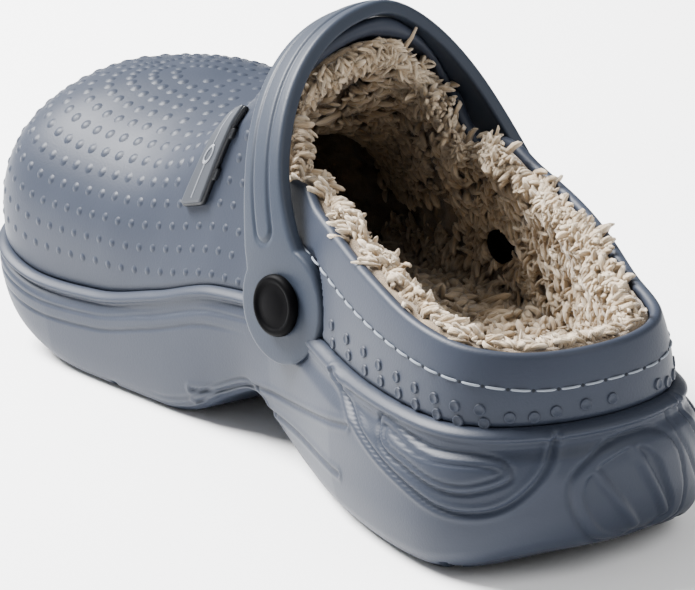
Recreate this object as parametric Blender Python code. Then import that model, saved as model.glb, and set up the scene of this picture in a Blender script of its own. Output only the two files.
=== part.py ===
import math

import bmesh
import bpy
import numpy as np
from mathutils import Vector

# Driving sizes, metres
UPPER_LENGTH = 0.291
BALL_WIDTH = 0.110
INSTEP_HEIGHT = 0.1160
HEEL_SOLE_HEIGHT = 0.0435
HEEL_BULGE = 0.0062
FORE_BULGE = 0.0036
TOE_SPRING = 0.016
WALL = 0.0035
GAP = 0.0003
PILE = 0.0055
STRAP_WIDTH = 0.0165
STRAP_THICKNESS = 0.0045
STRAP_CLEARANCE = 0.0022
DISC_RADIUS = 0.0170
RIDGE_SHIFT = 0.003
TUCK = 0.005
RIVET_RADIUS = 0.0088
RIVET_HEIGHT = 0.0026
SHAFT_RADIUS = 0.0040
CAP_RADIUS = 0.0050
INSOLE_THICKNESS = 0.006
TREAD_DEPTH = 0.0028
TREAD_WIDTH = 0.0034

# The strap: shares of BALL_WIDTH (reach to each side, middle), of INSTEP_HEIGHT (pivots, rise) and of
# UPPER_LENGTH (how far it runs forward), then the turns of its plane and of its face in degrees
STRAP_MEDIAL = 0.48545
STRAP_LATERAL = 0.29545
STRAP_MIDDLE = 0.13127
PIVOT_HEIGHT = 0.43966
STRAP_RISE = 0.56293
STRAP_FORWARD = 0.10838
STRAP_YAW = 8.9
STRAP_TWIST = -7.5

# Shares of UPPER_LENGTH
RIM_SHARE = 0.49
PIVOT_SHARE = 0.4045
SPINE_PULL = 0.765
COLUMNS = ((0, 74, 13), (74, 93.4, 8), (93.4, 108, 4), (108, 180, 14))

# turn, share of the length, half widths as shares of the ball width: medial, lateral
PLAN = (
    (0, 0.000, 0.026, -0.026),
    (20, 0.030, 0.280, 0.215),
    (42, 0.115, 0.380, 0.298),
    (64, 0.260, 0.368, 0.400),
    (84, 0.420, 0.335, 0.425),
    (102, 0.570, 0.400, 0.448),
    (120, 0.710, 0.470, 0.510),
    (138, 0.830, 0.525, 0.475),
    (155, 0.930, 0.490, 0.345),
    (168, 0.983, 0.285, 0.145),
    (180, 1.000, 0.075, -0.075),
)
# share of the length, heights as shares: valley line of the heel sole height, ridge of the instep height
VALLEY = ((0.0, 1.0), (0.2, 1.0), (0.42, 1.08), (0.52, 1.03), (0.62, 0.84), (0.72, 0.68), (0.82, 0.63),
          (0.92, 0.74), (1.0, 0.88))
RIDGE = ((0.10, 0.78), (0.30, 0.88), (0.42, 0.965), (0.49, 1.0), (0.525, 0.955), (0.57, 0.845),
         (0.61, 0.755), (0.65, 0.71), (0.70, 0.69), (0.76, 0.69), (0.82, 0.70), (0.88, 0.69), (1.0, 0.66))
# share of the length, height of the sole's lower edge as a share of the toe spring
EDGE = ((0.0, 0.48), (0.05, 0.2), (0.10, 0.02), (0.16, 0.0), (0.30, 0.0), (0.36, 0.12), (0.41, 0.42),
        (0.47, 1.0), (0.52, 0.68), (0.575, 0.16), (0.62, 0.0), (0.75, 0.0), (0.82, 0.14), (0.89, 0.52),
        (0.95, 0.92), (1.0, 1.12))
# share of the length, height of the opening's edge as a share of the instep height
COLLAR = ((0.0, 0.527), (0.04, 0.54), (0.08, 0.552), (0.13, 0.566), (0.20, 0.594), (0.28, 0.624),
          (0.36, 0.66), (0.40, 0.695), (0.42, 0.695), (0.445, 0.65), (0.462, 0.655), (0.478, 0.72),
          (0.49, 0.78))
# share of the length, the section's powers: run inward medial, lateral, rise; then shares of RIDGE_SHIFT
# and TUCK
SECTION = ((0.0, 0.85, 0.85, 0.95, 0.0, 0.0), (0.25, 0.9, 0.9, 1.0, 0.0, 0.0),
           (0.41, 1.05, 1.05, 1.05, 0.6, 0.0), (0.49, 1.25, 1.15, 1.0, 1.0, 1.0),
           (0.55, 1.2, 1.1, 1.0, 0.9, 0.9), (0.62, 1.05, 1.0, 1.0, 0.6, 0.5),
           (0.72, 0.95, 0.92, 0.96, 0.2, 0.0), (0.80, 0.85, 0.85, 0.92, 0.0, 0.0),
           (1.0, 0.80, 0.80, 0.85, 0.0, 0.0))
# height share from lower edge to valley, bulge shares: of HEEL_BULGE, of FORE_BULGE at the ball, at the toe
SIDE = ((0.0, -0.2, -0.6, -1.6), (0.05, 0.35, 0.1, -1.0), (0.16, 0.8, 0.6, -0.3), (0.38, 1.0, 0.9, 0.2),
        (0.60, 1.0, 1.0, 0.5), (0.76, 0.85, 0.95, 0.6), (0.87, 0.45, 0.55, 0.5), (0.93, 0.55, 0.75, 0.7),
        (0.985, 0.25, 0.35, 0.35), (1.0, 0.0, 0.0, 0.0))
FOOTBED = ((0.0, 0.70), (0.2, 0.66), (0.45, 0.60), (0.65, 0.42), (0.8, 0.36), (0.92, 0.46), (1.0, 0.60))
# share of the length, half length as a share of the ball width, of each groove across the sole
TREAD = ((0.07, 0.7), (0.15, 0.24), (0.237, 0.7), (0.635, 0.3), (0.70, 0.7), (0.765, 0.3), (0.83, 0.7))
# x as a share of the ball width of the notches at the back of the heel
HEEL_NOTCHES = (0.07, 0.20)
# turn and angle of the badge's middle on the upper, half length, half width, tilt in degrees
BADGE = (257.5, 37.5, 0.0135, 0.0050, 12.0)

COLORS = {
    "clog_shell": (0.205, 0.245, 0.285, 1.0),
    "heel_strap": (0.19, 0.23, 0.27, 1.0),
    "fleece_lining": (0.47, 0.36, 0.245, 1.0),
    "insole": (0.38, 0.285, 0.19, 1.0),
    "rivet_medial": (0.012, 0.012, 0.013, 1.0),
    "rivet_lateral": (0.012, 0.012, 0.013, 1.0),
    "badge_plate": (0.05, 0.055, 0.062, 1.0),
}
ROUGHNESS = {"clog_shell": 0.5, "heel_strap": 0.5, "fleece_lining": 0.95, "insole": 0.95}


def natural(xs, ys, x):
    # natural cubic spline through the knots, straight beyond the ends
    xs, ys = np.asarray(xs, float), np.asarray(ys, float)
    n = len(xs)
    h = np.diff(xs)
    a = np.eye(n)
    b = np.zeros(n)
    for i in range(1, n - 1):
        a[i, i - 1:i + 2] = h[i - 1], 2 * (h[i - 1] + h[i]), h[i]
        b[i] = 6 * ((ys[i + 1] - ys[i]) / h[i] - (ys[i] - ys[i - 1]) / h[i - 1])
    m = np.linalg.solve(a, b)
    x = np.clip(np.asarray(x, float), xs[0], xs[-1])
    k = np.clip(np.searchsorted(xs, x) - 1, 0, n - 2)
    u, v, w = x - xs[k], xs[k + 1] - x, h[k]
    lower = m[k] * v ** 3 / (6 * w) + (ys[k] / w - m[k] * w / 6) * v
    return lower + m[k + 1] * u ** 3 / (6 * w) + (ys[k + 1] / w - m[k + 1] * w / 6) * u


def gentle(xs, ys, x):
    # monotone cubic through the knots, flat at the ends
    xs, ys = np.asarray(xs, float), np.asarray(ys, float)
    h = np.diff(xs)
    d = np.diff(ys) / h
    m = np.zeros(len(xs))
    same = d[:-1] * d[1:] > 0
    m[1:-1][same] = 2 * d[:-1][same] * d[1:][same] / (d[:-1][same] + d[1:][same])
    x = np.clip(np.asarray(x, float), xs[0], xs[-1])
    k = np.clip(np.searchsorted(xs, x) - 1, 0, len(xs) - 2)
    t = (x - xs[k]) / h[k]
    return ((1 + 2 * t) * (1 - t) ** 2 * ys[k] + t * (1 - t) ** 2 * h[k] * m[k]
            + t * t * (3 - 2 * t) * ys[k + 1] + t * t * (t - 1) * h[k] * m[k + 1])


def column(table, share, index=1):
    return gentle([row[0] for row in table], [row[index] for row in table], share)


def plan(turn):
    # outline at the valley line: turn 0 at the heel, 90 on the lateral side, 180 at the toe, 270 medial
    knots = [row[0] for row in PLAN] + [360 - row[0] for row in PLAN[-2:0:-1]]
    xs = [row[3] for row in PLAN] + [-row[2] for row in PLAN[-2:0:-1]]
    ys = [row[1] for row in PLAN] + [row[1] for row in PLAN[-2:0:-1]]
    knots = [k - 360 for k in knots] + knots + [k + 360 for k in knots]
    turn = np.asarray(turn, float)
    x = natural(knots, xs * 3, turn) * BALL_WIDTH
    y = natural(knots, ys * 3, turn) * UPPER_LENGTH
    return np.stack([x, y], -1)


def outward(turn):
    step = plan(np.asarray(turn, float) + 0.5) - plan(np.asarray(turn, float) - 0.5)
    step /= np.linalg.norm(step, axis=-1, keepdims=True)
    return np.stack([step[..., 1], -step[..., 0]], -1)


def middle(share):
    # x of the centre line at a share of the length
    xs = [0.0] + [row[1] for row in PLAN[1:]]
    ys = [-0.028] + [(row[3] - row[2]) / 2 for row in PLAN[1:]]
    return gentle(xs, ys, share) * BALL_WIDTH


def spine(base):
    y = RIM_SHARE * UPPER_LENGTH + SPINE_PULL * (base[..., 1] - RIM_SHARE * UPPER_LENGTH)
    return np.stack([middle(y / UPPER_LENGTH) + column(SECTION, y / UPPER_LENGTH, 4) * RIDGE_SHIFT, y], -1)


def outer(turn, theta):
    # the upper's outer surface: meridian from the valley line (theta 0) to the ridge (theta 90 degrees)
    turn, theta = np.broadcast_arrays(np.asarray(turn, float), np.asarray(theta, float))
    base = plan(turn)
    top = spine(base)
    share, over = base[..., 1] / UPPER_LENGTH, top[..., 1] / UPPER_LENGTH
    low = column(VALLEY, share) * HEEL_SOLE_HEIGHT
    high = column(RIDGE, over) * INSTEP_HEIGHT
    lateral = np.mod(turn, 360) < 180
    power = np.where(lateral, column(SECTION, share, 2), column(SECTION, share, 1))
    run = np.clip(np.cos(theta), 0, 1) ** power
    rise = np.clip(np.sin(theta), 0, 1) ** column(SECTION, share, 3)
    swell = 0.0028 * np.sin(np.clip(theta * 2.2, 0, math.pi)) * np.clip((share - 0.45) / 0.3, 0, 1)
    wave = np.sin(4 * np.clip(theta, 0, math.pi / 2))
    swell = swell - TUCK * column(SECTION, share, 5) * np.where(wave > 0, wave, wave * 0.5)
    flat = top + (base - top) * run[..., None] + outward(turn) * swell[..., None]
    return np.concatenate([flat, (low + (high - low) * rise)[..., None]], -1)


def theta_at(turn, height):
    # meridian angle at which the outer surface reaches a height
    base = plan(turn)
    share = base[..., 1] / UPPER_LENGTH
    low = column(VALLEY, share) * HEEL_SOLE_HEIGHT
    high = column(RIDGE, spine(base)[..., 1] / UPPER_LENGTH) * INSTEP_HEIGHT
    part = np.clip((height - low) / (high - low), 0, 1)
    return np.arcsin(part ** (1 / column(SECTION, share, 3)))


def normals(turn, theta):
    a = outer(turn + 0.4, theta) - outer(turn - 0.4, theta)
    b = outer(turn, theta + 0.01) - outer(turn, theta - 0.01)
    n = np.cross(a, b)
    n /= np.maximum(np.linalg.norm(n, axis=-1, keepdims=True), 1e-12)
    return n


def column_turns():
    half = []
    for start, stop, count in COLUMNS:
        half += list(np.linspace(start, stop, count, endpoint=False))
    half = np.array(half + [180.0])
    return half


def opening_turn():
    # turn of the column that carries the vamp's rear edge
    return COLUMNS[1][1]


TURNS = column_turns()
LOOP = np.concatenate([TURNS, 360 - TURNS[-2:0:-1]])
COUNT = len(LOOP)
RIM = int(np.argmin(abs(TURNS - opening_turn())))
LIP = np.where(abs(np.minimum(LOOP, 360 - LOOP) - opening_turn()) < 0.01, 0.0005, 0.0)


def is_vamp(i, first):
    return min(i, COUNT - i) >= first


def shares():
    return plan(LOOP)[:, 1] / UPPER_LENGTH


def collar_theta():
    # angle of the opening's edge, carried on over the vamp as a plain middle row
    height = column(COLLAR, np.minimum(shares(), 0.49)) * INSTEP_HEIGHT
    at = theta_at(LOOP, height)
    vamp = shares() > 0.4901
    edge = at[RIM]
    fade = np.clip((shares() - 0.49) / 0.35, 0, 1)
    return np.where(vamp, edge + (math.radians(42) - edge) * fade, at)


def upper_rows(depth, rows_a=5, rows_b=6):
    # grid of points at a depth under the outer surface: rows from the valley to the edge, then to the ridge
    top = collar_theta()
    out = []
    for i in range(rows_a + 1):
        theta = top * (i / rows_a) ** 1.15
        out.append(outer(LOOP, theta) - depth * normals(LOOP, theta))
    for i in range(1, rows_b + 1):
        theta = top + (math.pi / 2 - top) * i / rows_b
        lift = LIP[:, None] if depth < WALL * 0.5 else 0.0
        p = outer(LOOP, theta) + (lift - depth) * normals(LOOP, theta)
        if i == rows_b:
            mirror = p[(COUNT - np.arange(COUNT)) % COUNT]
            p = (p + mirror) / 2
        out.append(p)
    return out[:rows_a + 1], out[rows_a + 1:]


def lower_edge():
    return column(EDGE, shares()) * TOE_SPRING


def side_rows():
    base, out = plan(LOOP), outward(LOOP)
    low = lower_edge()
    high = column(VALLEY, shares()) * HEEL_SOLE_HEIGHT
    heel = np.clip((0.42 - shares()) / 0.17, 0, 1)
    rows = []
    toe = np.clip((shares() - 0.80) / 0.15, 0, 1)
    for part, back, fore, front in SIDE[:-1]:
        bulge = back * HEEL_BULGE * heel + (fore + (front - fore) * toe) * FORE_BULGE * (1 - heel)
        z = low + (high - low) * part
        rows.append(np.concatenate([base + out * bulge[:, None], z[:, None]], -1))
    return rows


def bottom_rows(parts=(0.0, 0.5, 0.88)):
    edge = side_rows()[0][:, :2]
    middle_line = spine(plan(LOOP))
    rows = []
    for part in parts:
        flat = middle_line + (edge - middle_line) * part
        z = column(EDGE, flat[:, 1] / UPPER_LENGTH) * TOE_SPRING
        rows.append(np.concatenate([flat, z[:, None]], -1))
    return rows


def footbed_rows(inset, lift, parts=(0.94, 0.5, 0.0)):
    base = plan(LOOP) - outward(LOOP) * inset
    middle_line = spine(plan(LOOP))
    rows = []
    for part in parts:
        flat = middle_line + (base - middle_line) * part
        z = column(FOOTBED, flat[:, 1] / UPPER_LENGTH) * HEEL_SOLE_HEIGHT + lift
        rows.append(np.concatenate([flat, z[:, None]], -1))
    return rows


def wall_foot(inset, lift):
    base = plan(LOOP) - outward(LOOP) * inset
    z = column(FOOTBED, shares()) * HEEL_SOLE_HEIGHT + lift
    return np.concatenate([base, z[:, None]], -1)


def strip(mesh, a, b, keep=None):
    # quads between two closed rows of vertices
    for i in range(len(a)):
        j = (i + 1) % len(a)
        if keep is None or (keep(i) and keep(j)):
            ring = []
            for v in (a[i], a[j], b[j], b[i]):
                if v is not None and v not in ring:
                    ring.append(v)
            if len(ring) > 2:
                mesh.faces.new(ring)


def add_row(mesh, points):
    return [mesh.verts.new(p) for p in points]


def material(name):
    mat = bpy.data.materials.new(name + "_mat")
    mat.use_nodes = True
    shader = mat.node_tree.nodes["Principled BSDF"]
    shader.inputs["Base Color"].default_value = COLORS[name]
    shader.inputs["Roughness"].default_value = ROUGHNESS.get(name, 0.35)
    return mat


def finish(name, mesh, weld=2e-5):
    bmesh.ops.remove_doubles(mesh, verts=mesh.verts, dist=weld)
    bmesh.ops.dissolve_degenerate(mesh, edges=mesh.edges, dist=1e-6)
    loose = [v for v in mesh.verts if not v.link_faces]
    if loose:
        bmesh.ops.delete(mesh, geom=loose, context="VERTS")
    bmesh.ops.recalc_face_normals(mesh, faces=mesh.faces)
    data = bpy.data.meshes.new(name)
    mesh.to_mesh(data)
    mesh.free()
    data.materials.append(material(name))
    data.polygons.foreach_set("use_smooth", [True] * len(data.polygons))
    obj = bpy.data.objects.new(name, data)
    bpy.context.scene.collection.objects.link(obj)
    return obj


def crown(outer_edge, inner_edge, rise):
    mid = (outer_edge + inner_edge) / 2
    mid[:, 2] += rise
    return mid


def opening_strip(mesh, rows_out, rows_in, mid_rows, first):
    # closes the edge of the opening: along the collar, then up the vamp's rear edge
    top_out, top_in = rows_out[0], rows_in[0]
    mids = [mesh.verts.new(p) for p in mid_rows[0]]
    for i in range(COUNT):
        j = (i + 1) % COUNT
        if not (is_vamp(i, first) and is_vamp(j, first)):
            mesh.faces.new([top_out[i], top_out[j], mids[j], mids[i]])
            mesh.faces.new([mids[i], mids[j], top_in[j], top_in[i]])
    for side in (first, COUNT - first):
        last = mids[side]
        for k in range(1, len(rows_out)):
            new = mesh.verts.new(mid_rows[k][side])
            mesh.faces.new([rows_out[k - 1][side], rows_out[k][side], new, last])
            mesh.faces.new([last, new, rows_in[k][side], rows_in[k - 1][side]])
            last = new


def build_shell():
    mesh = bmesh.new()
    a_out, b_out = upper_rows(0.0)
    a_in, b_in = upper_rows(WALL)
    lower = bottom_rows() + side_rows()
    rows = [add_row(mesh, p) for p in lower + a_out]
    for low, high in zip(rows[:-1], rows[1:]):
        strip(mesh, low, high)
    out_b = [rows[-1]] + [add_row(mesh, p) for p in b_out]
    vamp = lambda i: is_vamp(i, RIM)
    for low, high in zip(out_b[:-1], out_b[1:]):
        strip(mesh, low, high, vamp)
    inner = [add_row(mesh, p) for p in footbed_rows(WALL, 0.0)[::-1] + [wall_foot(WALL, 0.002)] + a_in]
    for low, high in zip(inner[:-1], inner[1:]):
        strip(mesh, low, high)
    in_b = [inner[-1]] + [add_row(mesh, p) for p in b_in]
    for low, high in zip(in_b[:-1], in_b[1:]):
        strip(mesh, low, high, vamp)
    mids = [crown(a_out[-1], a_in[-1], 0.0007)]
    back = np.array([0.0, -0.0007, 0.0])
    mids += [(o + n) / 2 + back for o, n in zip(b_out, b_in)]
    opening_strip(mesh, out_b, in_b, mids, RIM)
    return finish("clog_shell", mesh)


def lump(i, k, seed):
    value = math.sin(i * 12.9898 + k * 78.233 + seed * 37.719) * 43758.5453
    return value - math.floor(value)


def lumps(row, seed, size):
    return np.array([[lump(i, row, seed) * size] for i in range(COUNT)])


def build_lining():
    mesh = bmesh.new()
    first = RIM + 1
    depth = WALL + GAP * 1.3
    a_out, b_out = upper_rows(depth)
    a_in, b_in = upper_rows(depth + PILE)
    foot_out = wall_foot(depth, 0.0026)
    foot_in = wall_foot(depth + PILE, 0.0026)
    top = collar_theta()
    lean = normals(LOOP, top)
    over = np.array([0.0, 0.0, 1.0])
    fade = np.clip((0.46 - shares()) / 0.06, 0, 1)[:, None]
    puff = [a_out[-1] + over * 0.0016 * fade,
            a_out[-1] + over * (0.0026 + lumps(1, 1, 0.0014)) * fade + lean * 0.0002 * fade,
            (a_out[-1] + a_in[-1]) / 2 + over * (0.0042 + lumps(2, 1, 0.0024)) * fade - lean * 0.0010,
            a_in[-1] + over * (0.0022 + lumps(3, 1, 0.0020)) * fade - lean * (0.0012 + lumps(4, 1, 0.0018))]
    outside = [add_row(mesh, p) for p in [foot_out] + a_out]
    for low, high in zip(outside[:-1], outside[1:]):
        strip(mesh, low, high)
    inside_points = [foot_in, a_in[0]]
    for k, p in enumerate(a_in[1:-1]):
        inside_points.append(p - normals(LOOP, top * ((k + 1) / 5) ** 1.15) * lumps(5 + k, 2, 0.0016))
    inside = [add_row(mesh, p) for p in inside_points]
    for low, high in zip(inside[:-1], inside[1:]):
        strip(mesh, high, low)
    strip(mesh, inside[0], outside[0])
    open_keep = lambda i: not is_vamp(i, first + 1)
    rows = [outside[-1]] + [add_row(mesh, p) for p in puff[1:]] + [inside[-1]]
    vamp = lambda i: is_vamp(i, first)
    edge_in = add_row(mesh, a_in[-1])
    for i in range(COUNT):
        j = (i + 1) % COUNT
        if vamp(i) and vamp(j):
            mesh.faces.new([edge_in[i], edge_in[j], inside[-1][j], inside[-1][i]])
        else:
            for low, high in zip(rows[:-1], rows[1:]):
                mesh.faces.new([low[i], low[j], high[j], high[i]])
    out_b = [outside[-1]] + [add_row(mesh, p) for p in b_out]
    in_b = [edge_in]
    for k, p in enumerate(b_in):
        lean = normals(LOOP, top + (math.pi / 2 - top) * (k + 1) / 6)
        in_b.append(add_row(mesh, p - lean * lumps(12 + min(k, 4), 3, 0.0012) * (k < 5)))
    for low, high in zip(out_b[:-1], out_b[1:]):
        strip(mesh, low, high, vamp)
    for low, high in zip(in_b[:-1], in_b[1:]):
        strip(mesh, high, low, vamp)
    back = np.array([0.0, -0.0016, 0.0])
    for side in (first, COUNT - first):
        last = None
        for k in range(len(out_b)):
            o, n = out_b[k][side], in_b[k][side]
            mid = mesh.verts.new((o.co + n.co) / 2 + Vector(back)) if k else None
            if k == 1:
                low = [rows[r][side] for r in range(1, len(rows))]
                ring = [out_b[0][side], out_b[1][side], mid, in_b[1][side], in_b[0][side]] + low[::-1]
                mesh.faces.new(ring)
            elif k > 1:
                mesh.faces.new([out_b[k - 1][side], o, mid, last])
                mesh.faces.new([last, mid, n, in_b[k - 1][side]])
            last = mid
    bmesh.ops.triangulate(mesh, faces=[f for f in mesh.faces if len(f.verts) > 4])
    return finish("fleece_lining", mesh)


def build_insole():
    mesh = bmesh.new()
    inset = WALL + GAP + PILE + GAP + 0.0004
    low = footbed_rows(inset, GAP + 0.0002, (1.0, 0.5, 0.0))
    high = footbed_rows(inset, GAP + INSOLE_THICKNESS, (0.97, 0.5, 0.0))
    side = wall_foot(inset, GAP + INSOLE_THICKNESS * 0.75)
    for p, k in ((high[1], 1), (high[0], 2)):
        p[:, 2:] += lumps(k, 9, 0.0008)
    low = [p for p in low]
    rows = [add_row(mesh, p) for p in low[::-1] + [side] + high]
    for a, b in zip(rows[:-1], rows[1:]):
        strip(mesh, a, b)
    return finish("insole", mesh)


def cylinder(name, center, axis, radius, start, stop, segments=24):
    mesh = bmesh.new()
    axis = np.asarray(axis, float)
    side = np.cross(axis, (0.0, 1.0, 0.0))
    side /= np.linalg.norm(side)
    other = np.cross(axis, side)
    rings = []
    for h in (start, stop):
        angle = np.arange(segments) * 2 * math.pi / segments
        ring = np.cos(angle)[:, None] * side + np.sin(angle)[:, None] * other
        points = center + axis * h + radius * ring
        rings.append(add_row(mesh, points))
    strip(mesh, rings[0], rings[1])
    mesh.faces.new(rings[0])
    mesh.faces.new(rings[1])
    bmesh.ops.recalc_face_normals(mesh, faces=mesh.faces)
    data = bpy.data.meshes.new(name)
    mesh.to_mesh(data)
    mesh.free()
    obj = bpy.data.objects.new(name, data)
    bpy.context.scene.collection.objects.link(obj)
    return obj


def cut(target, cutter):
    cutter.hide_render = True
    cutter.display_type = "WIRE"
    mod = target.modifiers.new("cut", "BOOLEAN")
    mod.operation = "DIFFERENCE"
    mod.solver = "EXACT"
    mod.object = cutter
    bpy.context.view_layer.update()
    done = bpy.data.meshes.new_from_object(target.evaluated_get(bpy.context.evaluated_depsgraph_get()))
    old = target.data
    target.modifiers.clear()
    target.data = done
    bpy.data.meshes.remove(old)
    mesh = cutter.data
    bpy.data.objects.remove(cutter)
    bpy.data.meshes.remove(mesh)


def box(name, center, size):
    mesh = bmesh.new()
    bmesh.ops.create_cube(mesh, size=1.0)
    for v in mesh.verts:
        v.co = Vector((v.co.x * size[0], v.co.y * size[1], v.co.z * size[2])) + Vector(center)
    data = bpy.data.meshes.new(name)
    mesh.to_mesh(data)
    mesh.free()
    obj = bpy.data.objects.new(name, data)
    bpy.context.scene.collection.objects.link(obj)
    return obj


def strap_lean():
    # run forward over rise of the strap's plane
    return STRAP_FORWARD * UPPER_LENGTH / (STRAP_RISE * INSTEP_HEIGHT)


def strap_frame():
    # middle point between the pivots, and the strap plane's directions: across, up, along the shoe
    yaw = math.radians(STRAP_YAW)
    across = np.array([math.cos(yaw), math.sin(yaw), 0.0])
    along = np.array([-math.sin(yaw), math.cos(yaw), 0.0])
    lean = strap_lean()
    unit = math.hypot(1, lean)
    up = (along * lean + np.array([0.0, 0.0, 1.0])) / unit
    height = PIVOT_HEIGHT * INSTEP_HEIGHT
    middle_point = np.array([STRAP_MIDDLE * BALL_WIDTH, PIVOT_SHARE * UPPER_LENGTH, height])
    return middle_point, across, up, np.cross(up, across)


def hoop():
    # in-plane path of the strap's inner face from the medial to the lateral pivot, with its outward normals
    angle = np.linspace(0, math.pi, 241)
    wide = np.where(np.cos(angle) > 0, STRAP_MEDIAL, STRAP_LATERAL) * BALL_WIDTH
    power = np.where(np.cos(angle) > 0, 0.95, 1.137)
    run = -np.sign(np.cos(angle)) * np.abs(np.cos(angle)) ** power * wide
    path = np.stack([run, np.sin(angle) * STRAP_RISE * INSTEP_HEIGHT * math.hypot(1, strap_lean())], -1)
    for _ in range(40):
        path[1:-1] = path[1:-1] * 0.5 + (path[:-2] + path[2:]) * 0.25
    run = np.concatenate([[0], np.cumsum(np.linalg.norm(np.diff(path, axis=0), axis=1))])
    total = run[-1]
    ends = DISC_RADIUS * np.array([0.975, 0.90, 0.78, 0.62, 0.42, 0.2])
    at = np.concatenate([-ends, np.linspace(0, total, 47), total + ends[::-1]])
    flat = np.stack([np.interp(at, run, path[:, 0]), np.interp(at, run, path[:, 1])], -1)
    for end, mark, sign in ((0.0, DISC_RADIUS, 1), (total, total - DISC_RADIUS, -1)):
        origin = np.array([np.interp(end, run, path[:, k]) for k in (0, 1)])
        far = np.array([np.interp(mark, run, path[:, k]) for k in (0, 1)])
        near = (at - end) * sign < DISC_RADIUS
        flat[near] = origin + (far - origin) / DISC_RADIUS * ((at[near] - end) * sign)[:, None]
    step = np.gradient(flat, at, axis=0)
    step /= np.linalg.norm(step, axis=1, keepdims=True)
    origin, across, up, through = strap_frame()
    base = origin + flat[:, :1] * across + flat[:, 1:] * up
    out = -step[:, 1:] * across + step[:, :1] * up
    turn = math.radians(STRAP_TWIST)
    width = -through * math.cos(turn) + out * math.sin(turn)
    out = out * math.cos(turn) + through * math.sin(turn)
    return base, out, width, np.minimum(at, total - at)


def strap_half_width(away):
    disc = np.sqrt(np.clip(DISC_RADIUS ** 2 - away ** 2, 0, None))
    fade = np.clip(1 - away / (2.4 * DISC_RADIUS), 0, 1) ** 2
    neck = STRAP_WIDTH / 2 + (DISC_RADIUS - STRAP_WIDTH / 2) * 0.75 * fade
    return np.where(away > 0, np.maximum(disc, neck), disc)


def hoop_solid(mesh, profile, grow=0.0):
    # closed band along the hoop; profile: side, share of the bevel taken off, height over the inner face
    base, out, width, away = hoop()
    half = strap_half_width(away) + grow
    bevel = np.minimum(0.0014, half * 0.3)
    rows = [add_row(mesh, base + width * (s * (half - k * bevel))[:, None] + out * h) for s, k, h in profile]
    for a, b in zip(rows, rows[1:] + rows[:1]):
        for i in range(len(base) - 1):
            mesh.faces.new([a[i], a[i + 1], b[i + 1], b[i]])
    for end in (0, -1):
        mesh.faces.new([row[end] for row in rows])


def build_strap():
    mesh = bmesh.new()
    high = STRAP_THICKNESS
    hoop_solid(mesh, ((-1, 1, 0.0), (-1, 0, high * 0.25), (-1, 0, high * 0.72), (-1, 1, high),
                      (1, 1, high), (1, 0, high * 0.72), (1, 0, high * 0.25), (1, 1, 0.0)))
    obj = finish("heel_strap", mesh)
    for center, axis in pivots():
        cut(obj, cylinder("hole", center, axis, SHAFT_RADIUS + GAP, -0.002, STRAP_THICKNESS + 0.002))
    return obj


def strap_recess():
    # the shallow bed moulded where the strap would touch the upper
    mesh = bmesh.new()
    hoop_solid(mesh, ((-1, 0, -GAP * 1.2), (-1, 0, 0.012), (1, 0, 0.012), (1, 0, -GAP * 1.2)), 0.0006)
    bmesh.ops.recalc_face_normals(mesh, faces=mesh.faces)
    data = bpy.data.meshes.new("recess")
    mesh.to_mesh(data)
    mesh.free()
    obj = bpy.data.objects.new("recess", data)
    bpy.context.scene.collection.objects.link(obj)
    return obj


def pivots():
    # medial and lateral: point on the strap's inner face and the rivet's outward axis
    base, out, width, away = hoop()
    return [(base[k], out[k]) for k in (6, len(base) - 7)]


def build_rivet(name, center, axis):
    mesh = bmesh.new()
    wall = STRAP_CLEARANCE + WALL + GAP
    base = STRAP_THICKNESS + GAP
    back = -(wall + PILE + 0.0016)
    profile = ((back, CAP_RADIUS * 0.55), (back + 0.0008, CAP_RADIUS), (-wall - 0.0012, CAP_RADIUS),
               (-wall - 0.0012, SHAFT_RADIUS),
               (base, SHAFT_RADIUS), (base, RIVET_RADIUS), (base + RIVET_HEIGHT * 0.6, RIVET_RADIUS),
               (base + RIVET_HEIGHT, RIVET_RADIUS * 0.86), (base + RIVET_HEIGHT * 0.8, RIVET_RADIUS * 0.78))
    side = np.cross(axis, (0.0, 1.0, 0.0))
    side /= np.linalg.norm(side)
    other = np.cross(axis, side)
    angle = np.arange(24) * 2 * math.pi / 24
    ring = np.cos(angle)[:, None] * side + np.sin(angle)[:, None] * other
    rows = [add_row(mesh, center + axis * h + ring * r) for h, r in profile]
    for a, b in zip(rows[:-1], rows[1:]):
        strip(mesh, a, b)
    mesh.faces.new(rows[0])
    mesh.faces.new(rows[-1])
    return finish(name, mesh)


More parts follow.
